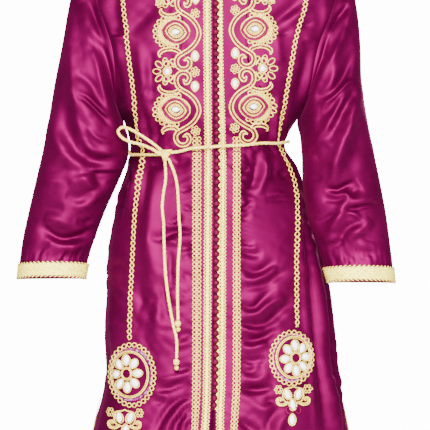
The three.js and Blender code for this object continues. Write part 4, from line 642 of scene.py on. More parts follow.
def front_folds(x, z, angle):
    """How far the creases lift the front, in millimetres."""
    flow = crease_depth(FRONT_CREASES, x, z) + gathers(angle, z) + 0.7 * drift(x, z, 19, 2) + 0.95 * crumple(x, z, 6)
    flow = flow + 1.15 * drift(x, z, 9, 4) * np.exp(-(((x - 4) / 58) ** 4))
    # short ripples that the bands' stitching draws up, slanting away from the centre
    beside = np.exp(-((np.maximum(np.abs(x - 4) - 44, 0) / 30) ** 2)) * ease((-398 - z) / 30)
    uneven = np.clip(0.7 + 0.45 * drift(x, z, 23, 8), 0.1, 1.25)
    flow = flow + 0.85 * beside * uneven * np.sin((z + 0.35 * np.abs(x - 4)) / 2.7 + 1.6 * drift(x, z, 34, 9))
    return tunic().fold_strength * flow * calm(x, z)


def back_folds(x, z, angle):
    """How far the creases lift the back, in millimetres."""
    flow = crease_depth(BACK_CREASES, x, z) + gathers(angle, z) + 0.9 * drift(x, z, 21, 5) + 0.6 * crumple(x, z, 2)
    return tunic().fold_strength * flow


def on_front(x, z, lift):
    """Places on the outside of the creased front, lifted off it, in millimetres."""
    x, z = np.broadcast_arrays(np.asarray(x, float), np.asarray(z, float))
    angle = angle_at(x, z)
    normal = body_normals(angle, z)
    out = front_folds(x, z, angle) + lift
    return body_points(angle, z) + normal * np.asarray(out)[..., None]


def scroll(middle, angles, radii, power=1.0, count=11):
    """A stretch of spiral round middle, from the first angle and radius to the last."""
    share = np.linspace(0, 1, count)
    turn = np.radians(angles[0] + (angles[1] - angles[0]) * share)
    radius = radii[0] + (radii[1] - radii[0]) * share**power
    return [(middle[0] + r * math.cos(t), middle[1] + r * math.sin(t)) for r, t in zip(radius, turn)]


def s_scroll(upper, lower, reach):
    """A spiral that opens, one wave towards the centre front, and a spiral that closes."""
    opening = [(upper[0] - 1, upper[1] - 2), *scroll(upper, (-70, 245), (9, 18.8), 4)]
    closing = [*scroll(lower, (129, 395), (12.8, 8.5), 4), (lower[0], lower[1] + 2)]
    (x1, z1), (x2, z2) = opening[-1], closing[0]
    wave = []
    for share in (0.15, 0.31, 0.5, 0.69, 0.85):
        x = x1 + (x2 - x1) * share
        wave.append((x + (reach - x) * math.sin(math.pi * share) ** 0.8, z1 + (z2 - z1) * share))
    return opening + wave + closing


def hook(x, z, rise, size):
    """An arched cord end: a little more than half an ellipse."""
    turns = np.radians(np.linspace(0, 205, 8))
    return [(x - size * (18 - 18 * math.cos(t)), z + rise * size * 10 * math.sin(t)) for t in turns]


S_COURSES = [scroll(*TOP_SCROLL), *(s_scroll(*places) for places in S_SCROLLS)]
HOOK_COURSES = [hook(*places) for places in HOOKS]

# ---------------------------- helpers for pieces


def tunic():
    """The sizes set in the panel."""
    return bpy.context.scene.tunic_sizes


def link(name, mesh, look):
    """Makes a mesh a piece of the garment, with its finish."""
    piece = bpy.data.objects.new(name.replace(" ", "_").lower() + "_sewn", mesh)
    bpy.context.collection.objects.link(piece)
    mesh.materials.append(look)
    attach(piece, "root")
    return piece


def smooth_shade(mesh):
    """Shades every face of a mesh smooth."""
    mesh.polygons.foreach_set("use_smooth", np.ones(len(mesh.polygons), bool))


def woven_grid(name, columns, rows, place, look, wrap=False, turned=False, thick=1.0):
    """A grid whose points are placed by share across and along, given a wall on its inner side."""
    mesh = bpy.data.meshes.new(name)
    bm = bmesh.new()
    bm.loops.layers.uv.new("Weave")
    bmesh.ops.create_grid(bm, x_segments=columns, y_segments=rows, size=0.5, calc_uvs=True)
    spots = np.array([v.co[:] for v in bm.verts])
    low, high = spots.min(0), spots.max(0)
    u, v = (spots[:, 0] - low[0]) / (high[0] - low[0]), (spots[:, 1] - low[1]) / (high[1] - low[1])
    placed = place(u, v) * MM
    for vert, spot in zip(bm.verts, placed.tolist()):
        vert.co = spot
    if turned:
        bmesh.ops.reverse_faces(bm, faces=bm.faces[:])
    if wrap:
        rim = [vert for vert in bm.verts if vert.is_boundary]
        bmesh.ops.remove_doubles(bm, verts=rim, dist=0.002 * MM)
    bm.to_mesh(mesh)
    bm.free()
    smooth_shade(mesh)
    piece = link(name, mesh, look)
    if thick:
        wall = piece.modifiers.new("Cloth wall", "SOLIDIFY")
        wall.thickness = thick * MM
        wall.offset = -1
        wall.use_even_offset = False
    return piece


def couched(name, lines, look, sides=6):
    """Round cords laid along lines of (points in mm, radius in mm, joined end to end)."""
    data = bpy.data.curves.new(name, "CURVE")
    data.dimensions = "3D"
    data.bevel_depth = MM
    data.bevel_resolution = (sides - 4) // 2
    data.use_fill_caps = True
    for spots, radius, joined in lines:
        spline = data.splines.new("POLY")
        spline.points.add(len(spots) - 1)
        flat = np.ones((len(spots), 4))
        flat[:, :3] = np.asarray(spots) * MM
        spline.points.foreach_set("co", flat.ravel())
        spline.points.foreach_set("radius", np.broadcast_to(np.asarray(radius, float), len(spots)).copy())
        spline.use_cyclic_u = joined
    loose = bpy.data.objects.new(name + " lines", data)
    bpy.context.collection.objects.link(loose)
    mesh = bpy.data.meshes.new_from_object(loose.evaluated_get(bpy.context.evaluated_depsgraph_get()))
    bpy.data.objects.remove(loose)
    bpy.data.curves.remove(data)
    mesh.name = name
    mesh.materials.clear()
    smooth_shade(mesh)
    return link(name, mesh, look)


def offset_course(line, apart):
    """A line in the front view moved sideways."""
    ahead = np.gradient(line, axis=0)
    ahead /= np.linalg.norm(ahead, axis=1, keepdims=True)
    return line + np.stack([-ahead[:, 1], ahead[:, 0]], -1) * np.asarray(apart)[..., None]


def laid(line, radius, lift=0.0, joined=False):
    """A cord of one radius on the front along a line of the front view."""
    return on_front(line[:, 0], line[:, 1], np.asarray(radius) + lift + 0.4), radius, joined


def ring(x, z, wide, tall, radius, count=10, lift=0.0, turn=0.0):
    """A closed loop of cord round a place of the front view."""
    a = np.linspace(0, 2 * np.pi, count, endpoint=False)
    dx, dz = wide * np.cos(a), tall * np.sin(a)
    c, s = math.cos(turn), math.sin(turn)
    return on_front(x + dx * c - dz * s, z + dx * s + dz * c, radius + lift + 0.4), radius, True


def chain(line, even, half, pitch, radius, lift=0.5):
    """Two cords that cross once in each pitch, so that they leave a row of oval links."""
    wave = np.pi * even / pitch
    return [
        (on_front(*offset_course(line, side * half * np.sin(wave)).T,
                  radius + 0.4 + lift * (1 + side * np.cos(wave))), radius, False)
        for side in (1, -1)
    ]


def knotted(line, even, radius, lift=0.0):
    """A thicker cord whose stitches show as small grains."""
    grain = radius * (1 + 0.22 * np.sin(even * 2 * np.pi / 3.2))
    return on_front(line[:, 0], line[:, 1], radius + lift + 0.3), grain, False


def stones(name, list_of_stones, look):
    """Domed drops set on the front: x, z, half width, half length, height, turn in degrees."""
    mesh = bpy.data.meshes.new(name)
    bm = bmesh.new()
    for x, z, wide, tall, high, turn in list_of_stones:
        made = bmesh.ops.create_uvsphere(bm, u_segments=14, v_segments=9, radius=1)
        seat, right, above = on_front([x, x + 1, x], [z, z, z + 1], 0.6)
        across, up = Vector(right - seat).normalized(), Vector(above - seat).normalized()
        out = across.cross(up).normalized()
        up = out.cross(across)
        c, s = math.cos(math.radians(turn)), math.sin(math.radians(turn))
        long_way, cross_way = up * c - across * s, across * c + up * s
        for vert in made["verts"]:
            p = vert.co.copy()
            narrow = 1 - 0.38 * max(p.z, 0) ** 1.5
            depth = p.y * high if p.y > 0 else p.y * 0.8
            vert.co = (Vector(seat) + cross_way * (p.x * wide * narrow) + long_way * (p.z * tall)
                       + out * depth) * MM
    bmesh.ops.recalc_face_normals(bm, faces=bm.faces[:])
    bm.to_mesh(mesh)
    bm.free()
    smooth_shade(mesh)
    return link(name, mesh, look)


def drop_rim(x, z, wide, tall, radius, turn=0.0, lift=0.0):
    """Cord round a drop stone."""
    a = np.linspace(0, 2 * np.pi, 16, endpoint=False)
    dz = tall * np.sin(a)
    dx = wide * np.cos(a) * (1 - 0.38 * np.clip(np.sin(a), 0, 1) ** 1.5)
    c, s = math.cos(math.radians(turn)), math.sin(math.radians(turn))
    return on_front(x + dx * c - dz * s, z + dx * s + dz * c, radius + lift + 0.3), radius, True


def balls(name, places, look, segments=12, rings=8, wraps=0.0):
    """Round knots and beads: centre in mm, half sizes; wraps raises cord turns on them."""
    mesh = bpy.data.meshes.new(name)
    bm = bmesh.new()
    for centre, half in places:
        made = bmesh.ops.create_uvsphere(bm, u_segments=segments, v_segments=rings, radius=1)
        for vert in made["verts"]:
            p = vert.co
            swell = 1 + wraps * math.sin(5 * math.atan2(p.y, p.x) + 7 * p.z)
            vert.co = Vector([(centre[k] + p[k] * half[k] * swell) * MM for k in range(3)])
    bmesh.ops.recalc_face_normals(bm, faces=bm.faces[:])
    bm.to_mesh(mesh)
    bm.free()
    smooth_shade(mesh)
    return link(name, mesh, look)


def rope(name, route, diameter, look, twist=9.0, step=1.6, sides=14, ridge=0.07):
    """A twisted cord: a tube along a route in metres, its strands standing up as low ridges."""
    line, even = along_course(np.asarray(route) / MM, step)
    ahead = np.gradient(line, axis=0)
    ahead /= np.linalg.norm(ahead, axis=1, keepdims=True)
    first = np.cross(ahead[0], (0.3, 0.9, 0.2))
    firsts = []
    for way in ahead:
        first = first - way * first.dot(way)
        first /= np.linalg.norm(first)
        firsts.append(first)
    firsts = np.array(firsts)
    seconds = np.cross(ahead, firsts)

    def place(u, v):
        i = np.clip(np.round(v * (len(line) - 1)).astype(int), 0, len(line) - 1)
        turn = u * 2 * np.pi
        strands = 1 + ridge * np.cos(3 * turn - even[i] * 2 * np.pi / twist)
        close = np.where((i == 0) | (i == len(line) - 1), 0.55, 1.0)
        radius = (diameter / 2) * strands * close
        return line[i] + (firsts[i] * np.cos(turn)[:, None] + seconds[i] * np.sin(turn)[:, None]) * radius[:, None]

    piece = woven_grid(name, sides, len(line) - 1, place, look, wrap=True, thick=0)
    bm = bmesh.new()
    bm.from_mesh(piece.data)
    bmesh.ops.remove_doubles(bm, verts=bm.verts[:], dist=2e-6)
    bmesh.ops.holes_fill(bm, edges=[e for e in bm.edges if e.is_boundary], sides=0)
    bmesh.ops.recalc_face_normals(bm, faces=bm.faces[:])
    bm.to_mesh(piece.data)
    bm.free()
    smooth_shade(piece.data)
    return piece


# ---------------------------- finishes


def linear(hex_colour):
    """sRGB hex to linear RGBA."""
    parts = [int(hex_colour[k:k + 2], 16) / 255 for k in (1, 3, 5)]
    return [p / 12.92 if p <= 0.04045 else ((p + 0.055) / 1.055) ** 2.4 for p in parts] + [1.0]


def add_node(tree, kind, settings=None, links=None):
    """Adds one node, sets its properties and sockets, and links sockets from other nodes."""
    node = tree.nodes.new(kind)
    for name, value in (settings or {}).items():
        if name in node.inputs:
            node.inputs[name].default_value = value
        else:
            setattr(node, name, value)
    for name, source in (links or {}).items():
        tree.links.new(source, node.inputs[name])
    return node


def finish_named(name, settings):
    """A material with one Principled shader, returned with its tree and shader."""
    look = bpy.data.materials.new(name)
    look.use_nodes = True
    tree = look.node_tree
    shader = tree.nodes["Principled BSDF"]
    for socket, value in settings.items():
        shader.inputs[socket].default_value = value
    return look, tree, shader


def uneven_colour(tree, shader, scale, dark, pale, low=0.35, high=0.65):
    """Base colour that wanders between two tones over the surface."""
    where = add_node(tree, "ShaderNodeTexCoord")
    noise = add_node(tree, "ShaderNodeTexNoise", {"Scale": scale, "Detail": 3.0}, {"Vector": where.outputs["Object"]})
    ramp = add_node(tree, "ShaderNodeValToRGB", {}, {"Fac": noise.outputs["Fac"]})
    ramp.color_ramp.elements[0].position, ramp.color_ramp.elements[1].position = low, high
    ramp.color_ramp.elements[0].color, ramp.color_ramp.elements[1].color = dark, pale
    tree.links.new(ramp.outputs["Color"], shader.inputs["Base Color"])
    return where


def raised_threads(tree, shader, height, strength, depth):
    """Fine relief of threads, depth in metres."""
    bump = add_node(tree, "ShaderNodeBump", {"Strength": strength, "Distance": depth}, {"Height": height})
    tree.links.new(bump.outputs["Normal"], shader.inputs["Normal"])


def duchesse_satin(dark, pale):
    """Polyester satin: smooth floats of bright filament, so the gloss takes the thread's own colour."""
    look, tree, shader = finish_named("Magenta polyester satin", {
        "Metallic": 0.78, "Roughness": 0.56, "Anisotropic": 0.3, "Sheen Weight": 0.04,
        "Sheen Roughness": 0.4, "Sheen Tint": linear("#E040A0"), "Specular IOR Level": 0.3,
        "Specular Tint": linear("#F060B0"),
    })
    where = uneven_colour(tree, shader, 14, dark, pale)
    # threads 0.25 mm apart are too fine to show, so they are drawn at about 1.2 mm
    fitted = add_node(tree, "ShaderNodeMapping", {"Scale": (800, 800, 130)}, {"Vector": where.outputs["Object"]})
    noise = add_node(tree, "ShaderNodeTexNoise", {"Scale": 1.0, "Detail": 2.0},
                     {"Vector": fitted.outputs["Vector"]})
    raised_threads(tree, shader, noise.outputs["Fac"], 0.12, 0.0003)
    return look


def woven_gold(name, dark, pale, pitch, metal, rough):
    """Woven lurex braid: cream yarn wrapped with foil, a soft glitter over a matt body."""
    look, tree, shader = finish_named(name, {
        "Metallic": metal, "Roughness": rough, "Sheen Weight": 0.03, "Sheen Roughness": 0.5,
        "Sheen Tint": linear("#FFE9A0"),
    })
    where = uneven_colour(tree, shader, 1000 / pitch / 2, dark, pale, 0.34, 0.56)
    noise = add_node(tree, "ShaderNodeTexVoronoi", {"Scale": 1000 / pitch}, {"Vector": where.outputs["Object"]})
    raised_threads(tree, shader, noise.outputs["Distance"], 0.45, 0.0005)
    return look


def rayon_cord(name, dark, pale):
    """Rayon cord: close-wound silky filament, so its gloss takes the thread's colour as satin's does."""
    look, tree, shader = finish_named(name, {
        "Metallic": 0.68, "Roughness": 0.6, "Sheen Weight": 0.02, "Sheen Roughness": 0.4,
        "Sheen Tint": linear("#E03090"), "Specular IOR Level": 0.2,
    })
    where = uneven_colour(tree, shader, 300, dark, pale)
    noise = add_node(tree, "ShaderNodeTexNoise", {"Scale": 1400.0}, {"Vector": where.outputs["Object"]})
    raised_threads(tree, shader, noise.outputs["Fac"], 0.4, 0.0003)
    return look


def opal_glass():
    """Moulded white opal glass with a thin iridescent coat: bright, cold, faint pink and blue."""
    look, tree, shader = finish_named("White opal glass stone", {
        "Roughness": 0.12, "IOR": 1.52, "Coat Weight": 0.5, "Coat Roughness": 0.05,
    })
    where = add_node(tree, "ShaderNodeTexCoord")
    noise = add_node(tree, "ShaderNodeTexNoise", {"Scale": 160.0, "Detail": 1.0}, {"Vector": where.outputs["Object"]})
    ramp = add_node(tree, "ShaderNodeValToRGB", {}, {"Fac": noise.outputs["Fac"]})
    tones = ((0.30, "#E3EEFA"), (0.45, "#FFFFFF"), (0.60, "#FBFAFF"), (0.75, "#F7E4F4"))
    ramp.color_ramp.elements[0].position, ramp.color_ramp.elements[0].color = tones[0][0], linear(tones[0][1])
    ramp.color_ramp.elements[1].position, ramp.color_ramp.elements[1].color = tones[3][0], linear(tones[3][1])
    for place, tone in tones[1:3]:
        ramp.color_ramp.elements.new(place).color = linear(tone)
    tree.links.new(ramp.outputs["Color"], shader.inputs["Base Color"])
    return look


def foil_sequin():
    """Iridescent foil sequins: violet and pink flashes that change from one to the next."""
    look, tree, shader = finish_named("Iridescent violet sequin", {"Metallic": 0.6, "Roughness": 0.32})
    where = add_node(tree, "ShaderNodeTexCoord")
    cells = add_node(tree, "ShaderNodeTexVoronoi", {"Scale": 260.0}, {"Vector": where.outputs["Object"]})
    parts = add_node(tree, "ShaderNodeSeparateColor", {}, {"Color": cells.outputs["Color"]})
    ramp = add_node(tree, "ShaderNodeValToRGB", {}, {"Fac": parts.outputs["Red"]})
    ramp.color_ramp.elements[0].color = linear("#7A0A58")
    ramp.color_ramp.elements[1].color = linear("#E89AD8")
    ramp.color_ramp.elements.new(0.4).color = linear("#B4187E")
    ramp.color_ramp.elements.new(0.7).color = linear("#9A3CA8")
    tree.links.new(ramp.outputs["Color"], shader.inputs["Base Color"])
    return look


LOOKS = {}


def tones_of(name):
    """The darker and the paler tone of a finish, from the panel."""
    colours = bpy.context.scene.tunic_colours
    return [(*getattr(colours, f"{name}_{tone}"), 1.0) for tone in ("dark", "pale")]


def look_of(name):
    """The finish of that name, made on first use; satin, cords and braids take their tones from the panel."""
    makers = {
        "satin": lambda: duchesse_satin(*tones_of("satin")),
        "braid": lambda: woven_gold("Woven cream braid", *tones_of("braid"), 1.5, 0.08, 0.5),
        "gold": lambda: woven_gold("Gold thread cord", *tones_of("gold"), 1.2, 0.12, 0.45),
        "belt": lambda: woven_gold("Plaited cream cord", *tones_of("belt"), 1.4, 0.08, 0.5),
        "knot": lambda: rayon_cord("Magenta rayon cord", *tones_of("knot")),
        "rose": lambda: rayon_cord("Rose rayon thread", *tones_of("rose")),
        "stone": opal_glass,
        "sequin": foil_sequin,
    }
    if name not in LOOKS:
        LOOKS[name] = makers[name]()
    return LOOKS[name]


# ---------------------------- settings


def length_setting(name, description, default, low, high):
    """A length in millimetres."""
    return FloatProperty(name=name, description=f"{description} in millimetres", default=default, min=low, max=high)


def tone_setting(name, hex_colour):
    """One of the two tones of a finish."""
    return FloatVectorProperty(name=name, description=f"{name} of the finish", default=linear(hex_colour)[:3],
                               size=3, subtype="COLOR", min=0.0, max=1.0)


class TunicSizes(bpy.types.PropertyGroup):
    """Sizes of the cloth and its trims"""

    cloth_wall: length_setting("Cloth wall", "Thickness of the satin", 1.0, 0.4, 2.0)
    cell: length_setting("Cloth cell", "Spacing of the cloth's grid", 3.9, 2.5, 12.0)
    fold_strength: FloatProperty(name="Fold strength", description="Factor on every crease", default=1.2,
                                 min=0.0, max=1.5)
    cord_radius: length_setting("Couched cord", "Radius of the couched gold cord", 1.45, 0.5, 3.0)
    belt_diameter: length_setting("Belt cord", "Diameter of the belt cord", 5.0, 2.0, 9.0)
    knot_pitch: length_setting("Knot pitch", "Spacing of the silk knots", 12.2, 8.0, 20.0)
    petals: IntProperty(name="Petals", description="Petal loops of a chest flower", default=7, min=5, max=9)


class TunicColours(bpy.types.PropertyGroup):
    """The two tones between which each finish wanders"""

    satin_dark: tone_setting("Darker satin", "#4C002C")
    satin_pale: tone_setting("Paler satin", "#5A0036")
    braid_dark: tone_setting("Darker braid", "#CFA820")
    braid_pale: tone_setting("Paler braid", "#FAEC58")
    gold_dark: tone_setting("Darker gold thread", "#B07C10")
    gold_pale: tone_setting("Paler gold thread", "#EED048")
    belt_dark: tone_setting("Darker belt cord", "#C8982C")
    belt_pale: tone_setting("Paler belt cord", "#F2D858")
    knot_dark: tone_setting("Darker knots", "#460020")
    knot_pale: tone_setting("Paler knots", "#5A002C")
    rose_dark: tone_setting("Darker rose thread", "#640034")
    rose_pale: tone_setting("Paler rose thread", "#7E0046")


class StudioSizes(bpy.types.PropertyGroup):
    """Camera and light of the plain studio"""

    distance: FloatProperty(name="Camera distance", description="Distance of the camera in front", default=6.0,
                            min=2.0, max=12.0, unit="LENGTH")
    frame_width: FloatProperty(name="Frame width", description="Width of the picture at the garment", default=0.74,
                               min=0.3, max=3.0, unit="LENGTH")
    light: FloatProperty(name="Light", description="Factor on the studio lights", default=1.0, min=0.1, max=4.0)
    floor_colour: FloatVectorProperty(name="Floor colour", description="Colour of the pale floor",
                                      default=(0.82, 0.82, 0.82), size=3, subtype="COLOR", min=0.0, max=1.0)


# ---------------------------- operators


class StageOperator(bpy.types.Operator):
    """Sets the camera, the soft studio lights and the pale floor"""

    bl_idname = "tunic.stage"
    bl_label = "Stage"

    def execute(self, context):
        studio = context.scene.tunic_studio
        data = bpy.data.cameras.new("Front camera")
        data.sensor_width = SENSOR_MM
        data.lens = SENSOR_MM * studio.distance / studio.frame_width
        data.clip_end = 60
        camera = bpy.data.objects.new("Front camera", data)
        camera.location = (CAMERA_X, -studio.distance - CHEST_DEPTH, CAMERA_Z)
        camera.rotation_euler = (math.pi / 2, 0, 0)
        context.collection.objects.link(camera)
        context.scene.camera = camera

        bm = bmesh.new()
        bmesh.ops.create_circle(bm, cap_ends=True, segments=96, radius=FLOOR_RADIUS)
        mesh = bpy.data.meshes.new("Floor")
        bm.to_mesh(mesh)
        bm.free()
        mesh.transform(Matrix.Translation((0, 0, FLOOR_Z)))
        floor = bpy.data.objects.new("Floor", mesh)
        context.collection.objects.link(floor)
        paint, _, _ = finish_named("Matt white floor paint", {
            "Base Color": (*studio.floor_colour, 1), "Roughness": 0.9,
        })
        mesh.materials.append(paint)

        for name, place, aim, width, height, watts in LAMPS:
            lamp = bpy.data.lights.new(name, "AREA")
            lamp.shape = "RECTANGLE"
            lamp.size, lamp.size_y = width, height
            lamp.energy = watts * studio.light
            holder = bpy.data.objects.new(name, lamp)
            holder.location = place
            holder.rotation_euler = (Vector(aim) - Vector(place)).to_track_quat("-Z", "Y").to_euler()
            context.collection.objects.link(holder)

        world = bpy.data.worlds.new("White studio")
        world.use_nodes = True
        tree = world.node_tree
        tree.nodes.clear()
        ray = add_node(tree, "ShaderNodeLightPath")
        soft = add_node(tree, "ShaderNodeBackground", {"Color": linear("#FFFFFF"), "Strength": BACKDROP_LIGHT})
        white = add_node(tree, "ShaderNodeBackground", {"Color": linear("#FFFFFF"), "Strength": BACKDROP_SEEN})
        both = add_node(tree, "ShaderNodeMixShader", {}, {"Fac": ray.outputs["Is Camera Ray"]})
        tree.links.new(soft.outputs[0], both.inputs[1])
        tree.links.new(white.outputs[0], both.inputs[2])
        add_node(tree, "ShaderNodeOutputWorld", {}, {"Surface": both.outputs[0]})
        context.scene.world = world
        return {"FINISHED"}


class BeltOperator(bpy.types.Operator):
    """Ties the cord belt: waist, bow loop, two tails with their end knots and beads"""

    bl_idname = "tunic.belt"
    bl_label = "Cord belt"

    def execute(self, context):
        look = look_of("belt")
        wide = tunic().belt_diameter
        for node, route in BELT_ROUTES.items():
            rope(node.replace("_", " ").capitalize(), route, wide, look)
            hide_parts(node)

        centre = np.array(BELT_KNOT)
        t = np.linspace(0, 2 * np.pi, 90, endpoint=False)
        wraps = np.stack([
            8.4 * np.sin(t) + 3.4 * np.sin(2 * t),
            -2.4 * np.sin(3 * t) - 2.2,
            8.2 * np.cos(t) - 3.2 * np.cos(2 * t),
        ], -1)
        knot = couched("Belt knot", [(centre + wraps, 2.5, True)], look, sides=10)
        core = balls("Belt knot core", [(centre, (6.6, 4.6, 7.0))], look)
        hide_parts("belt_knot")

        ends = []
        for number, (cx, cy, cz) in TAIL_KNOTS.items():
            places = [((cx, cy, cz), (5.3, 4.4, 5.3))]
            end = balls(f"Belt tail {number} end knot", places, look, 16, 12, 0.1)
            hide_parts(f"belt_tail_{number}_knot")
            bead = balls(f"Belt tail {number} bead", [((cx + 0.5, cy, cz - 9.9), (4, 4, 4))],
                         look_of("gold"), 14, 10, 0.05)
            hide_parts(f"belt_tail_{number}_bead")
            ends.append([end, bead])

        facts = (
            ("belt_waist", "object", "taut", [knot, core]), ("belt_bow", "object", "loose", []),
            ("belt_tail_1", "knot", "hanging", ends[0]), ("belt_tail_2", "knot", "hanging", ends[1]),
        )
        for node, far, lay, extra in facts:
            route = BELT_ROUTES[node]
            line, even = along_course(np.asarray(route) / MM, 1.6)
            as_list(extra)
        return {"FINISHED"}


class PanelsOperator(bpy.types.Operator):
    """Sews the two front panels and the back in satin, creased as worn"""

    bl_idname = "tunic.panels"
    bl_label = "Satin panels"

    def execute(self, context):
        look = look_of("satin")
        cell = tunic().cell

        def side_edge(z, sign):
            angle = np.where(z >= UNDERARM_Z, look_up(ARMHOLE_Z, ARMHOLE_ANGLE, z), 90)
            return sign * angle / 90 * half_width(np.full(z.shape, sign), z)

        def rows_of(v, top_start, top_end):
            """Blend share and the heights of the first and last column at each share of the length."""
            upper = 0.31
            w = np.clip(v / upper, 0, 1)
            lower = np.clip((v - upper) / (1 - upper), 0, 1)
            below = UNDERARM_Z + (HEM_Z - UNDERARM_Z) * lower
            z_start = np.where(v < upper, top_start + (UNDERARM_Z - top_start) * w, below)
            z_end = np.where(v < upper, top_end + (UNDERARM_Z - top_end) * w, below)
            return z_start, z_end

        def shoulder(share, sign):
            z = SHOULDER_TIP_Z * share
            return sign * half_width(np.full(z.shape, sign), z), z

        def front_edge(z, sign):
            x = look_up(EDGE_Z, EDGE_CENTRE, z) + sign * look_up(EDGE_Z, EDGE_HALF, z)
            return angle_at(x, z) / 90 * half_width(x, z)

        def blended(u, v, top, bottom, start, end):
            """Flat place and height between four edges, so that the grid follows each of them."""
            corner = {}
            for a in (0, 1):
                for b in (0, 1):
                    corner[a, b] = (top, bottom)[b](np.array([float(a)]))
            across = [start[k] * (1 - u) + end[k] * u for k in (0, 1)]
            t, b = top(u), bottom(u)
            out = []
            for k in (0, 1):
                along = t[k] * (1 - v) + b[k] * v
                flat = (corner[0, 0][k][0] * (1 - u) + corner[1, 0][k][0] * u) * (1 - v) \
                    + (corner[0, 1][k][0] * (1 - u) + corner[1, 1][k][0] * u) * v
                out.append(across[k] + along - flat)
            return out

        def seated(flat, z, is_back):
            """Places of the creased cloth on the body."""
            turn = flat / half_width(flat, z) * 90
            angle = 180 - turn if is_back else turn
            angle = np.where(angle > 180, angle - 360, angle)
            spots, normals = body_points(angle, z), body_normals(angle, z)
            folds = (back_folds if is_back else front_folds)(spots[:, 0], z, angle)
            # the side seams and armhole seams pull the cloth in to a fine groove
            rim = np.abs(turn)
            armhole = look_up(ARMHOLE_Z, ARMHOLE_ANGLE, np.clip(z, UNDERARM_Z, SHOULDER_TIP_Z))
            bound = np.where(z > UNDERARM_Z, armhole, 90)
            near = np.exp(-(((bound - rim) * DEGREE_RUN) / 7) ** 2)
            still = 1 - near
            spots = spots + normals * (folds * still - SEAM_GROOVE * near * (z > SLIT_TOP_Z))[:, None]
            slit = ease((SLIT_TOP_Z - z) / SLIT_RUN) * SLIT_OPENING * np.exp(-(((90 - rim) * DEGREE_RUN) / 10) ** 2)
            spots[:, 1] += (1 if is_back else -1) * slit
            # the line of the stitched hem
            spots += normals * (-0.5 * np.exp(-((z - HEM_Z - HEM_STITCH) / 2.5) ** 2))[:, None]
            return spots

        for side, sign in (("right", -1), ("left", 1)):
            def top(u, sign=sign):
                j = u * FRONT_SPANS
                turn = np.clip(j / 4, 0, 1) * np.pi / 2
                z_neck = NECK_FRONT_Z * np.cos(turn)
                start = front_edge(np.array([float(NECK_FRONT_Z)]), sign)[0]
                grow = np.sin(turn) ** 0.9
                flat_neck = start + (sign * NECK_HALF - start) * grow
                flat_seam, z_seam = shoulder(np.clip(j / 4 - 1, 0, 1), sign)
                return np.where(j < 4, flat_neck, flat_seam), np.where(j < 4, z_neck, z_seam)

            hem_start = front_edge(np.array([float(HEM_Z)]), sign)[0]
            hem_end = side_edge(np.array([float(HEM_Z)]), sign)[0]

            def bottom(u):
                return hem_start + (hem_end - hem_start) * u, np.full(u.shape, float(HEM_Z))

            def place(u, v, sign=sign, top=top):
                v = 1 - v
                z_start, z_end = rows_of(v, NECK_FRONT_Z, SHOULDER_TIP_Z)
                start = (front_edge(z_start, sign), z_start)
                end = (side_edge(z_end, sign), z_end)
                flat, z = blended(u, v, top, bottom, start, end)
                return seated(flat, z, False)

            name = f"Front {side}"
            woven_grid(name, FRONT_SPANS * round(FRONT_SPAN / cell), int(FRONT_LENGTH / cell), place,
                                    look, turned=sign < 0, thick=tunic().cloth_wall)
            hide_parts(f"front_{side}")

        def top_back(u):
            j = u * BACK_SPANS
            across = np.clip((j - 4) / 4 - 1, -1, 1)
            flat_neck, z_neck = NECK_HALF * across, NECK_BACK_Z * np.clip(1 - across**2, 0, 1) ** 0.85
            right, z_right = shoulder(np.clip((4 - j) / 4, 0, 1), -1)
            left, z_left = shoulder(np.clip((j - 12) / 4, 0, 1), 1)
            flat = np.where(j < 4, right, np.where(j > 12, left, flat_neck))
            return flat, np.where(j < 4, z_right, np.where(j > 12, z_left, z_neck))

        ends = [side_edge(np.array([float(HEM_Z)]), s)[0] for s in (-1, 1)]

        def bottom_back(u):
            return ends[0] + (ends[1] - ends[0]) * u, np.full(u.shape, float(HEM_Z))

        def place_back(u, v):
            v = 1 - v
            z_start, z_end = rows_of(v, SHOULDER_TIP_Z, SHOULDER_TIP_Z)
            start, end = (side_edge(z_start, -1), z_start), (side_edge(z_end, 1), z_end)
            flat, z = blended(u, v, top_back, bottom_back, start, end)
            return seated(flat, z, True)

        woven_grid("Back", BACK_SPANS * round(BACK_SPAN / cell), int(BACK_LENGTH / cell), place_back,
                                  look, turned=True, thick=tunic().cloth_wall)
        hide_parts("back")
        return {"FINISHED"}


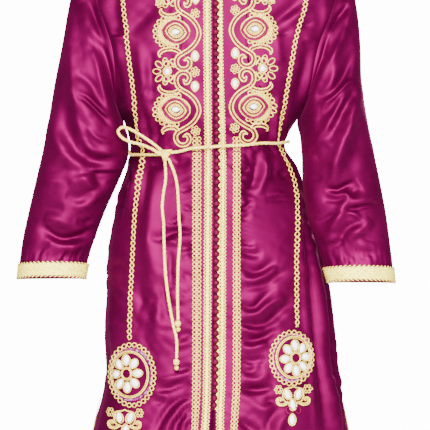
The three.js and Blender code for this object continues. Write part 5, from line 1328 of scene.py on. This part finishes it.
class SleevesOperator(bpy.types.Operator):
    """Sets in the two sleeves and sews their cuff braids"""

    bl_idname = "tunic.sleeves"
    bl_label = "Sleeves and cuffs"

    def execute(self, context):
        look = look_of("satin")
        cell = tunic().cell
        creases = {"right": SLEEVE_RIGHT_CREASES, "left": SLEEVE_LEFT_CREASES}
        # the unseen back of each sleeve takes the other's creases, mirrored and a little lower
        hidden = {
            side: [(d * 0.85, w * 1.1, -lean, *[(-x, z - 14) for x, z in course])
                   for d, w, lean, *course in creases[other]]
            for side, other in (("right", "left"), ("left", "right"))
        }
        for side, sign in (("right", -1), ("left", 1)):
            table = SLEEVE[side]

            def ring_at(t, w, front, table=table):
                """Rings of the sleeve: places, outward way, turn, seam on the armhole and allowance inside it."""
                at = [look_up(table[:, 0], table[:, k], t) for k in range(1, 7)]
                outer, inner = np.stack([at[0], at[5], at[1]], -1), np.stack([at[2], at[5], at[3]], -1)
                centre, arm = (outer + inner) / 2, (outer - inner) / 2
                turn = np.where(front, np.arccos(1 - 2 * w), 2 * np.pi - np.arccos(1 - 2 * w))
                spots = centre + arm * np.cos(turn)[:, None]
                seam_z = SHOULDER_TIP_Z + (UNDERARM_Z - SHOULDER_TIP_Z) * w
                angle = look_up(ARMHOLE_Z, ARMHOLE_ANGLE, seam_z) * sign
                seam_angle = np.where(front, angle, 180 * sign - angle)
                seam = body_points(seam_angle, seam_z)
                wave = np.sin(turn)
                round_y = -at[4] * np.sign(wave) * np.abs(wave) ** 0.94
                mixed = seam[:, 1] + (round_y - seam[:, 1]) * ease(t / 0.4)
                spots[:, 1] += mixed
                length = np.linalg.norm(arm, axis=1)
                out = np.stack([arm[:, 0] * np.cos(turn), -length * np.sin(turn), arm[:, 2] * np.cos(turn)], -1)
                out /= np.linalg.norm(out, axis=1, keepdims=True)
                under = seam_angle + np.where(front, -ALLOWANCE_ANGLE, ALLOWANCE_ANGLE) * sign
                allowance = body_points(under, seam_z) - body_normals(under, seam_z) * ALLOWANCE_DEPTH
                return spots, out, turn, seam - body_normals(seam_angle, seam_z) * SEAM_GROOVE, allowance

            def place(u, v, side=side, ring_at=ring_at):
                t = 1 - v
                share = np.where(u <= 0.5, u * 2, (1 - u) * 2)
                w = (1 - np.cos(share * np.pi)) / 2 * 0.65 + share * 0.35
                front = u <= 0.5
                spots, out, turn, seam, allowance = ring_at(t, w, front)
                start = ring_at(np.zeros(t.shape), w, front)[0]
                hold = (1 - ease(t / 0.15))[:, None]
                spots = spots + (seam - start) * hold
                # the bent elbow leans on the waist
                lean = look_up(*np.transpose(NEAR_WAIST[side]), t)
                spots[:, 0] -= sign * lean * ease((w - 0.62) / 0.38) * ease((np.sin(turn) + 0.75) / 0.9)
                x, z = spots[:, 0].copy(), spots[:, 2].copy()
                wave = np.sin(turn)
                large = np.zeros(x.shape)
                for (x1, z1), (x2, z2), width, depth in SLEEVE_FOLDS[side]:
                    dx, dz = x2 - x1, z2 - z1
                    reach = np.clip(((x - x1) * dx + (z - z1) * dz) / (dx * dx + dz * dz), 0, 1)
                    apart = (x - x1 - dx * reach) ** 2 + (z - z1 - dz * reach) ** 2
                    large += depth * 0.6 * np.exp(-apart / width**2)
                facing = ease((wave + 0.25) / 0.5)
                fine = crease_depth(creases[side], x, z) * facing + crease_depth(hidden[side], x, z) * (1 - facing)
                edge = np.abs(wave) ** 0.55
                ends = ease(t / 0.05) * (1 - 0.75 * ease((t - 0.955) / 0.03))
                around = turn / (2 * np.pi)
                # small puckers where the cuff braid is sewn on
                wide, narrow = around * 2 * np.pi * 19, around * 2 * np.pi * 31
                puckers = 0.9 * np.exp(-(((t - 0.945) / 0.02) ** 2)) * (
                    np.sin(wide + 2 * np.sin(around * 11)) + 0.6 * np.sin(narrow + 1))
                rise = tunic().fold_strength * (large * np.abs(wave) + fine * edge) * ends
                rise += (puckers + (0.5 * drift(x, z, 15, 7) + 0.9 * crumple(x, z, 13)) * edge) * ends
                spots = spots + out * rise[:, None]
                # the seam allowance of the sleeve lies inside the armhole
                tuck = t < 0.003
                spots[tuck] = allowance[tuck]
                arch = CUFF_ARCH * np.clip(wave, 0, 1) * ease((t - 0.8) / 0.2)
                spots[:, 2] += arch
                return spots

            sleeve = woven_grid(f"Sleeve {side}", int(SLEEVE_ROUND / cell), int(SLEEVE_LENGTH / cell), place, look,
                                wrap=True, turned=sign > 0, thick=tunic().cloth_wall)
            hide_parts(f"sleeve_{side}")

            def cuff_ring(u, height, lift, ring_at=ring_at):
                """Places round the end of the sleeve, height above its edge in mm, lifted off it."""
                turn = u * 2 * np.pi
                w = (1 - np.cos(turn)) / 2
                front = turn <= np.pi
                one = np.ones(u.shape)
                low, out = ring_at(one, w, front)[:2]
                high = ring_at(one * 0.93, w, front)[0]
                up = high - low
                up /= np.linalg.norm(up, axis=1, keepdims=True)
                spots = low + up * np.asarray(height)[..., None] + out * np.asarray(lift)[..., None]
                spots[:, 2] += CUFF_ARCH * np.clip(np.sin(turn), 0, 1)
                return spots

            def place_band(u, v, cuff_ring=cuff_ring):
                height = 0.6 + v * (CUFF_HEIGHT - 1.2)
                cords = 5
                slant = np.where((v * cords) % 2 < 1, 1, -1) * v * 12
                swell = 0.8 * np.abs(np.sin(v * np.pi * cords)) ** 0.7 + 0.35 * np.cos(u * 2 * np.pi * 130 + slant)
                buckle = 0.35 * np.sin(u * 2 * np.pi * 9 + 1.3)
                return cuff_ring(u, height, 2.3 + swell + buckle)

            band = woven_grid(f"Cuff braid {side}", 420, 15, place_band, look_of("braid"),
                              wrap=True, turned=sign > 0, thick=1.3)
            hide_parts(f"cuff_braid_{side}")
            steps = np.linspace(0, 1, 640, endpoint=False)
            whip = steps * 2 * np.pi * 46
            for tone, phase in (("rose", 0), ("braid", np.pi)):
                lines = []
                for edge, out_way in ((0.2, -1), (CUFF_HEIGHT - 0.2, 1)):
                    bob = np.cos(whip + phase)
                    spots = cuff_ring(steps, edge + out_way * 1.1 * bob, 1.9 + 0.8 * np.sin(whip + phase))
                    lines.append((spots, 0.95, True))
                couched(f"Cuff picot {tone} {side}", lines, look_of(tone if tone == "rose" else "braid"))
        return {"FINISHED"}


class BraidsOperator(bpy.types.Operator):
    """Sews the woven braids with their picot edges, the silk knots and the slit trims"""

    bl_idname = "tunic.braids"
    bl_label = "Front braids and knots"

    def execute(self, context):
        for side, a, b in (("right", 1, 2), ("left", 3, 4)):
            top, bottom = NECK_FRONT_Z - 4, HEM_Z + 3

            def place(u, v, a=a, b=b):
                z = bottom + (top - bottom) * v
                low, high = look_up(BRAID[:, 0], BRAID[:, a], z), look_up(BRAID[:, 0], BRAID[:, b], z)
                x = low + 3.7 + (high - low - 7.4) * u
                cords = 1.2 * np.abs(np.sin(u * np.pi * 3)) ** 0.7
                weave = 0.75 * np.cos((z + np.abs(u - 0.5) * 10) * 2 * np.pi / 5.6)
                return on_front(x, z, 1.9 + cords + weave)

            braid = woven_grid(f"Front braid {side}", 12, 560, place, look_of("braid"), thick=1.6)
            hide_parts(f"front_braid_{side}")
            z = np.arange(top, bottom, -0.78)
            wave = z * 2 * np.pi / 6.0
            lines = []
            for column, out_way in ((a, -1), (b, 1)):
                edge = look_up(BRAID[:, 0], BRAID[:, column], z)
                lines.append((on_front(edge + out_way * (3.9 * np.abs(np.sin(wave / 2)) - 4.0), z,
                                       1.5 + 0.5 * np.cos(wave)), 0.85, False))
            couched(f"Braid picots {side}", lines, look_of("braid"), sides=4)

        pitch = tunic().knot_pitch
        heights = np.arange(KNOTS_TOP - pitch / 2, KNOTS_END, -pitch)
        centres = look_up(EDGE_Z, EDGE_CENTRE, heights)
        middle = (look_up(BRAID[:, 0], BRAID[:, 2], heights) + look_up(BRAID[:, 0], BRAID[:, 3], heights)) / 2
        seats = on_front(middle * 0.6 + centres * 0.4 + 1.4, heights, 3.0)
        places = [(seat, (5.6 if z > SMALL_KNOTS else 4.8, 3.7, 5.2)) for seat, z in zip(seats, heights)]
        knots = balls("Silk knots", places, look_of("knot"), 12, 9, 0.09)
        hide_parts("knot_row")

        # button loops: gold cord from the left braid round each knot, and a magenta rayon cord down the middle
        loops = []
        for (x0, z0) in zip(middle + 0.6, heights):
            a = np.linspace(-0.62 * np.pi, 0.62 * np.pi, 9)
            inner = look_up(BRAID[:, 0], BRAID[:, 3], z0)
            dx = (inner - x0) + 1.8 - 3.9 * (1 - np.abs(a) / (0.62 * np.pi)) ** 0.8
            loops.append((on_front(x0 + dx, z0 - pitch / 2 + a * 1.5, 3.4), 1.15, False))
        couched("Button loops", loops, look_of("braid"))
        z = np.arange(KNOTS_TOP + 4, KNOTS_END - 4, -1.1)
        spine = look_up(EDGE_Z, EDGE_CENTRE, z)
        seam = []
        for phase in (0, np.pi):
            wave = z * 2 * np.pi / pitch + phase
            seam.append((on_front(spine + 1.7 * np.sin(wave), z, 2.0 + 0.8 * np.cos(wave)), 1.0, False))
        couched("Centre cord", seam, look_of("knot"))

        # trims on the slit edges
        for end, sign_y in (("front", -1), ("back", 1)):
            for side, sign in (("right", -1), ("left", 1)):
                def place(u, v, sign=sign, sign_y=sign_y):
                    z = SLIT_TOP_Z - 10 + (HEM_Z + 1 - SLIT_TOP_Z + 10) * v
                    inner = 90 - (0.6 + 6.0 * u) / 2.6
                    angle = sign * inner if sign_y < 0 else sign * (180 - inner)
                    spots, normals = body_points(angle, z), body_normals(angle, z)
                    slit = ease((SLIT_TOP_Z - z) / SLIT_RUN) * SLIT_OPENING
                    spots[:, 1] += sign_y * slit
                    rise = 1.6 + 0.4 * np.abs(np.sin(u * np.pi * 2)) + 0.2 * np.cos(z * 2 * np.pi / 3.4)
                    return spots + normals * rise[:, None]

                trim = woven_grid(f"Slit trim {end} {side}", 6, 90, place, look_of("braid"),
                                  turned=(sign * sign_y) < 0, thick=1.0)
                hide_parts(f"slit_trim_{end}_{side}")
        return {"FINISHED"}


class ChainsOperator(bpy.types.Operator):
    """Couches the double chain bands and the single chain lines"""

    bl_idname = "tunic.chains"
    bl_label = "Chain bands and lines"

    def execute(self, context):
        gold = look_of("gold")
        for side, a, b in (("right", 1, 2), ("left", 3, 4)):
            # the short start of the band runs from the rosette down under the belt
            for name, top, bottom in (("Chain band", BAND_TOP, HEM_Z + 3),
                                      ("Chain band start", BAND_START_TOP, BAND_START_END)):
                z = np.arange(top, bottom, -1.05)
                low = look_up(CHAIN_BAND[:, 0], CHAIN_BAND[:, a], z)
                high = look_up(CHAIN_BAND[:, 0], CHAIN_BAND[:, b], z)
                lines = []
                even = top - z
                for share in (0.25, 0.75):
                    line = np.stack([low + (high - low) * share, z], -1)
                    lines += chain(line, even, (high - low) * 0.2, 7.2, 0.8)
                centre = np.stack([(low + high) / 2, z], -1)
                lines.append(knotted(centre, even, 0.6, 0.6))
                band = couched(f"{name} {side}", lines, gold)
                if name == "Chain band":
                    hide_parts(f"chain_band_{side}")
            line, even = along_course(CHAIN_LINE[side], 1.1)
            links = couched(f"Chain line {side}", chain(line, even, 3.1, 9.4, 1.05, 0.7), gold)
            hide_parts(f"chain_line_{side}")
        return {"FINISHED"}


def mirrored(places, side):
    """Places drawn for the right side, or their mirror on the left, 5 mm higher."""
    if side == "right":
        return [tuple(p) for p in places]
    return [(6.4 - p[0], p[1] + 5, *p[2:]) for p in places]


class ChestOperator(bpy.types.Operator):
    """Couches the chest embroidery: S cords, eyes, flowers, rosettes and pearls"""

    bl_idname = "tunic.chest"
    bl_label = "Chest embroidery"

    def execute(self, context):
        gold, rose = look_of("gold"), look_of("rose")
        thick = tunic().cord_radius
        for side, sign in (("right", -1), ("left", 1)):
            twin, middle, extra = [], [], []
            for course in S_COURSES:
                line, even = along_course(mirrored(course, side), 1.8)
                apart = 2.5 * ease(even / 9) * ease((even[-1] - even) / 9) + 0.3
                for way in (1, -1):
                    twin.append(laid(offset_course(line, way * apart), thick))
                middle.append(laid(line, 1.15, 0.5))
            for course in HOOK_COURSES:
                line, even = along_course(mirrored(course, side), 1.8)
                apart = 2.2 * ease((even[-1] - even) / 9) + 0.4
                for way in (1, -1):
                    twin.append(laid(offset_course(line, way * apart), thick * 0.9))
                middle.append(laid(line, 1.0, 0.5))
            for x, z in mirrored(ROSETTES, side):
                twin.append(ring(x, z, 1.7, 1.7, 0.8, 8, 0.4))
                for k in range(6):
                    a = k * np.pi / 3 + 0.3
                    extra.append(ring(x + 5.5 * math.cos(a), z + 5.8 * math.sin(a), 2.4, 2.4, 0.8, 10))
            cords = couched(f"S cord {side}", twin, gold)
            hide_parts(f"s_cord_{side}")
            couched(f"Rosettes {side}", extra, gold)
            couched(f"Rose cord {side}", middle, rose)
            drops, rims = [], []
            for x, z, way in mirrored(PEARLS, side):
                drops.append((x, z, 4.9, 7.2, 4.2, 0 if way > 0 else 180))
                rims.append(drop_rim(x, z, 6.2, 8.6, 1.15, 0 if way > 0 else 180))
            stones(f"Drop pearls {side}", drops, look_of("stone"))
            couched(f"Pearl rims {side}", rims, gold)

        for name, (x, z, gem_x) in EYES.items():
            sign = -1 if x < 0 else 1
            scallops, body, lines = [], [], []
            for k in range(19):
                a = 2 * np.pi * k / 19 + 0.1
                outward = math.cos(a) * sign
                if outward < -0.62:
                    continue
                scallops.append(ring(x + 27.3 * math.cos(a), z + 26.6 * math.sin(a), 3.5, 3.5, 1.05, 10, 0.2))
            turn = np.linspace(0, 2 * np.pi, 120)
            inner_way = 1 + 0.16 * (1 - sign * np.cos(turn))
            for reach, radius in ((22.6, 1.75), (19.6, 1.7), (16.8, 1.6)):
                loop = np.stack([x - sign * 1.5 + reach * inner_way * np.cos(turn),
                                 z + reach * np.sin(turn) * 0.97], -1)
                body.append((*knotted(loop, turn * reach, radius, 0.1)[:2], True))

            def almond(wide, tall):
                """A loop round the stone, pointed to both sides."""
                bulge = np.abs(np.sin(turn)) ** 1.6 * np.sign(np.sin(turn))
                flat = gem_x + wide * np.cos(turn) - sign * 0.5
                return np.stack([flat, z + tall * bulge - (flat - gem_x) * sign * -0.1], -1)[:-1]

            inner_fill = [(*knotted(almond(w, h), turn[:-1] * w, 1.1, 1.5)[:2], True)
                          for w, h in ((17.4, 14.2), (12.2, 9.6), (9.4, 7.2))]
            for w, h, r in ((22.2, 18.6, 1.7), (20.0, 16.6, 1.1), (14.8, 12.0, 1.1)):
                lines.append(laid(almond(w, h), r, 1.9, True))
            eye = couched(f"Eye {name.replace('_', ' ')}", body + scallops + inner_fill, gold)
            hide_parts(f"eye_{name}")
            couched(f"Eye rose lines {name}", lines, rose)
            stones(f"Eye stone {name}", [(gem_x, z, 5.0, 7.2, 5.2, 90 * sign)], look_of("stone"))

        for name, (x, z) in FLOWERS.items():
            sign = -1 if x < 0 else 1
            petals, inner = [], []
            count = tunic().petals
            for k in range(count):
                a = (k / (count - 1) - 0.5) * math.radians(236)
                way = math.cos(a) * sign, math.sin(a)
                out = math.atan2(way[1], way[0])
                reach = 18.4 if abs(a) < 1.3 else 16
                petals.append(ring(x + way[0] * reach, z + way[1] * reach, 7.2, 4.3, 1.0, 14, 0.1, out))
                inner.append(ring(x + way[0] * (reach - 0.2), z + way[1] * (reach - 0.2),
                                  4.6, 1.9, 0.5, 10, -0.2, out))
            petals.append(ring(x, z, 7.0, 7.0, 1.2, 18, 0.1))
            for up in (1, -1):
                arch, _ = along_course([(x - sign * 12, z + up * 6), (x - sign * 6, z + up * 15),
                                        (x + sign * 4, z + up * 17), (x + sign * 6, z + up * 12)], 1.6)
                petals.append(laid(arch, 1.5, 0.2))
            flower = couched(f"Flower {name.replace('_', ' ')}", petals, gold)
            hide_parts(f"flower_{name}")
            couched(f"Petal centres {name}", inner, rose)
            stones(f"Flower pearl {name}", [(x, z, 5.4, 5.6, 4.4, 0)], look_of("stone"))
        return {"FINISHED"}


class MedallionsOperator(bpy.types.Operator):
    """Couches the two skirt medallions with their stones, sequins and drops"""

    bl_idname = "tunic.medallions"
    bl_label = "Skirt medallions"

    def execute(self, context):
        gold, rose, stone = look_of("gold"), look_of("rose"), look_of("stone")
        for side, sign in (("right", -1), ("left", 1)):
            spot = MEDALLIONS[side]
            ox, oz, ow, oh = spot["outer"]
            ix, iz, iw, ih = spot["inner"]
            fx, fz, fw, fh = spot["flower"]
            turn = np.linspace(0, 2 * np.pi, 421)
            loop = np.stack([ox + (ow - 4.4) * np.cos(turn), oz + (oh - 4.4) * np.sin(turn)], -1)
            even = np.concatenate([[0], np.cumsum(np.linalg.norm(np.diff(loop, axis=0), axis=1))])
            count = 2 * round(even[-1] / 8.8 / 2)
            lines = [(p, r, False) for p, r, _ in chain(loop, even, 3.6, even[-1] / count, 0.95, 0.5)]
            for w, h, r in ((iw, ih, 1.3), (iw - 2.6, ih - 2.6, 0.7)):
                lines.append(ring(ix, iz, w, h, r, 72, 0.1))
            medallion = couched(f"Medallion {side}", lines, gold)
            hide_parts(f"medallion_{side}")

            # sequins overlap in a ring between the gold ovals
            mesh = bpy.data.meshes.new(f"Sequins {side}")
            bm = bmesh.new()
            around = np.linspace(0, 2 * np.pi, 66, endpoint=False)
            for k, a in enumerate(around):
                x = (ix * 0.7 + ox * 0.3) + (iw + 3.9) * math.cos(a)
                z = iz + (ih + 3.9) * math.sin(a)
                seat, right, above = on_front([x, x + 1, x], [z, z, z + 1], 1.0)
                across, up = Vector(right - seat).normalized(), Vector(above - seat).normalized()
                out = across.cross(up).normalized()
                lean = Vector((math.cos(k * 2.4), 0, math.sin(k * 2.4))) * 0.32
                out = (out + lean * 0.6).normalized()
                across = up.cross(out).normalized()
                up = out.cross(across)
                place = Matrix((across, up, out)).transposed().to_4x4()
                place.translation = Vector(seat) * MM
                bmesh.ops.create_cone(bm, cap_ends=True, segments=8, radius1=2.3 * MM, radius2=2.0 * MM,
                                      depth=0.5 * MM, matrix=place)
            bm.to_mesh(mesh)
            bm.free()
            link(f"Sequins {side}", mesh, look_of("sequin"))

            gems, rims = [], []
            for k in range(8):
                a = k * np.pi / 4 + 0.06
                gx, gz = fx + fw * math.cos(a), fz + fh * math.sin(a)
                out = math.degrees(math.atan2(math.sin(a) * fh, math.cos(a) * fw)) - 90
                gems.append((gx, gz, 6.0, 8.4, 4.6, out + 180))
                rims.append(drop_rim(gx, gz, 6.8, 9.4, 0.95, out + 180, 0.0))
            rims.append(ring(fx, fz, 7.4, 8.6, 1.2, 24, 0.3))
            rims.append(ring(fx, fz, 9.2, 10.8, 0.8, 24, 0.0))
            flower = stones(f"Stone flower {side}", gems, stone)
            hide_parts(f"stone_flower_{side}")
            couched(f"Stone flower rims {side}", rims, gold)

            own = {n: p for n, p in STONES.items() if n.endswith(side)}
            rims, scrolls = [], []
            for n, (x, z, lean) in own.items():
                drop = stones(n.replace("_", " ").capitalize(), [(x, z, 5.4, 8.8, 4.4, lean)], stone)
                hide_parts(n)
                rims.append(drop_rim(x, z, 6.5, 10.0, 1.1, lean))
            first, second = own[f"stone_1_{side}"], own[f"stone_2_{side}"]
            mid_x, top_z = (first[0] + second[0]) / 2, first[1]
            for way in (-1, 1):
                frond, _ = along_course([
                    (mid_x, top_z + 13), (mid_x + way * 4, top_z + 11), (mid_x + way * 15, top_z + 8),
                    (mid_x + way * 18, top_z - 4), (mid_x + way * 13, top_z - 13), (mid_x + way * 4, top_z - 15),
                ], 1.6)
                rims.append(laid(frond, 1.3))
                curl, _ = along_course([
                    (mid_x + way * 8, top_z - 15), (mid_x + way * 17, top_z - 19), (mid_x + way * 26, top_z - 17),
                    (mid_x + way * 28, top_z - 9), (mid_x + way * 22, top_z - 6), (mid_x + way * 19, top_z - 11),
                ], 1.5)
                rims.append(laid(curl, 1.7))
                rims.append(laid(offset_course(curl, 2.6 * way), 1.2))
                rx, rz = mid_x + way * 25, top_z + 8
                for k in range(6):
                    a = k * np.pi / 3
                    rims.append(ring(rx + 4.8 * math.cos(a), rz + 5.3 * math.sin(a), 2.2, 2.2, 0.8, 10))
                petal, _ = along_course([
                    (mid_x + way * 3, top_z - 24), (mid_x + way * 9, top_z - 22), (mid_x + way * 13, top_z - 28),
                    (mid_x + way * 9, top_z - 33), (mid_x + way * 4, top_z - 30),
                ], 1.6)
                scrolls.append(laid(petal, 1.2))
            couched(f"Drop work {side}", rims, gold)
            couched(f"Rose scrolls {side}", scrolls, rose)
        return {"FINISHED"}


OPERATORS = (
    StageOperator, BeltOperator, PanelsOperator, SleevesOperator, BraidsOperator, ChainsOperator,
    ChestOperator, MedallionsOperator,
)


class TunicPanel(bpy.types.Panel):
    """Shows the tunic's settings and a button for each step that sews or stages it"""

    bl_idname = "VIEW3D_PT_tunic"
    bl_label = "Satin tunic"
    bl_space_type = "VIEW_3D"
    bl_region_type = "UI"
    bl_category = "Tunic"

    def draw(self, context):
        for group in (context.scene.tunic_sizes, context.scene.tunic_colours, context.scene.tunic_studio):
            for name in group.__annotations__:
                self.layout.prop(group, name)
        for operator in OPERATORS:
            self.layout.operator(operator.bl_idname)


CLASSES = (TunicSizes, TunicColours, StudioSizes, *OPERATORS, TunicPanel)


def register():
    for one in CLASSES:
        bpy.utils.register_class(one)
    bpy.types.Scene.tunic_sizes = PointerProperty(type=TunicSizes)
    bpy.types.Scene.tunic_colours = PointerProperty(type=TunicColours)
    bpy.types.Scene.tunic_studio = PointerProperty(type=StudioSizes)


def unregister():
    del bpy.types.Scene.tunic_studio
    del bpy.types.Scene.tunic_colours
    del bpy.types.Scene.tunic_sizes
    for one in reversed(CLASSES):
        bpy.utils.unregister_class(one)


def main():
    """Sews every piece in order."""
    register()
    bpy.ops.tunic.stage()
    bpy.ops.tunic.belt()
    bpy.ops.tunic.panels()
    bpy.ops.tunic.sleeves()
    bpy.ops.tunic.braids()
    bpy.ops.tunic.chains()
    bpy.ops.tunic.chest()
    bpy.ops.tunic.medallions()


if __name__ == "__main__":
    main()
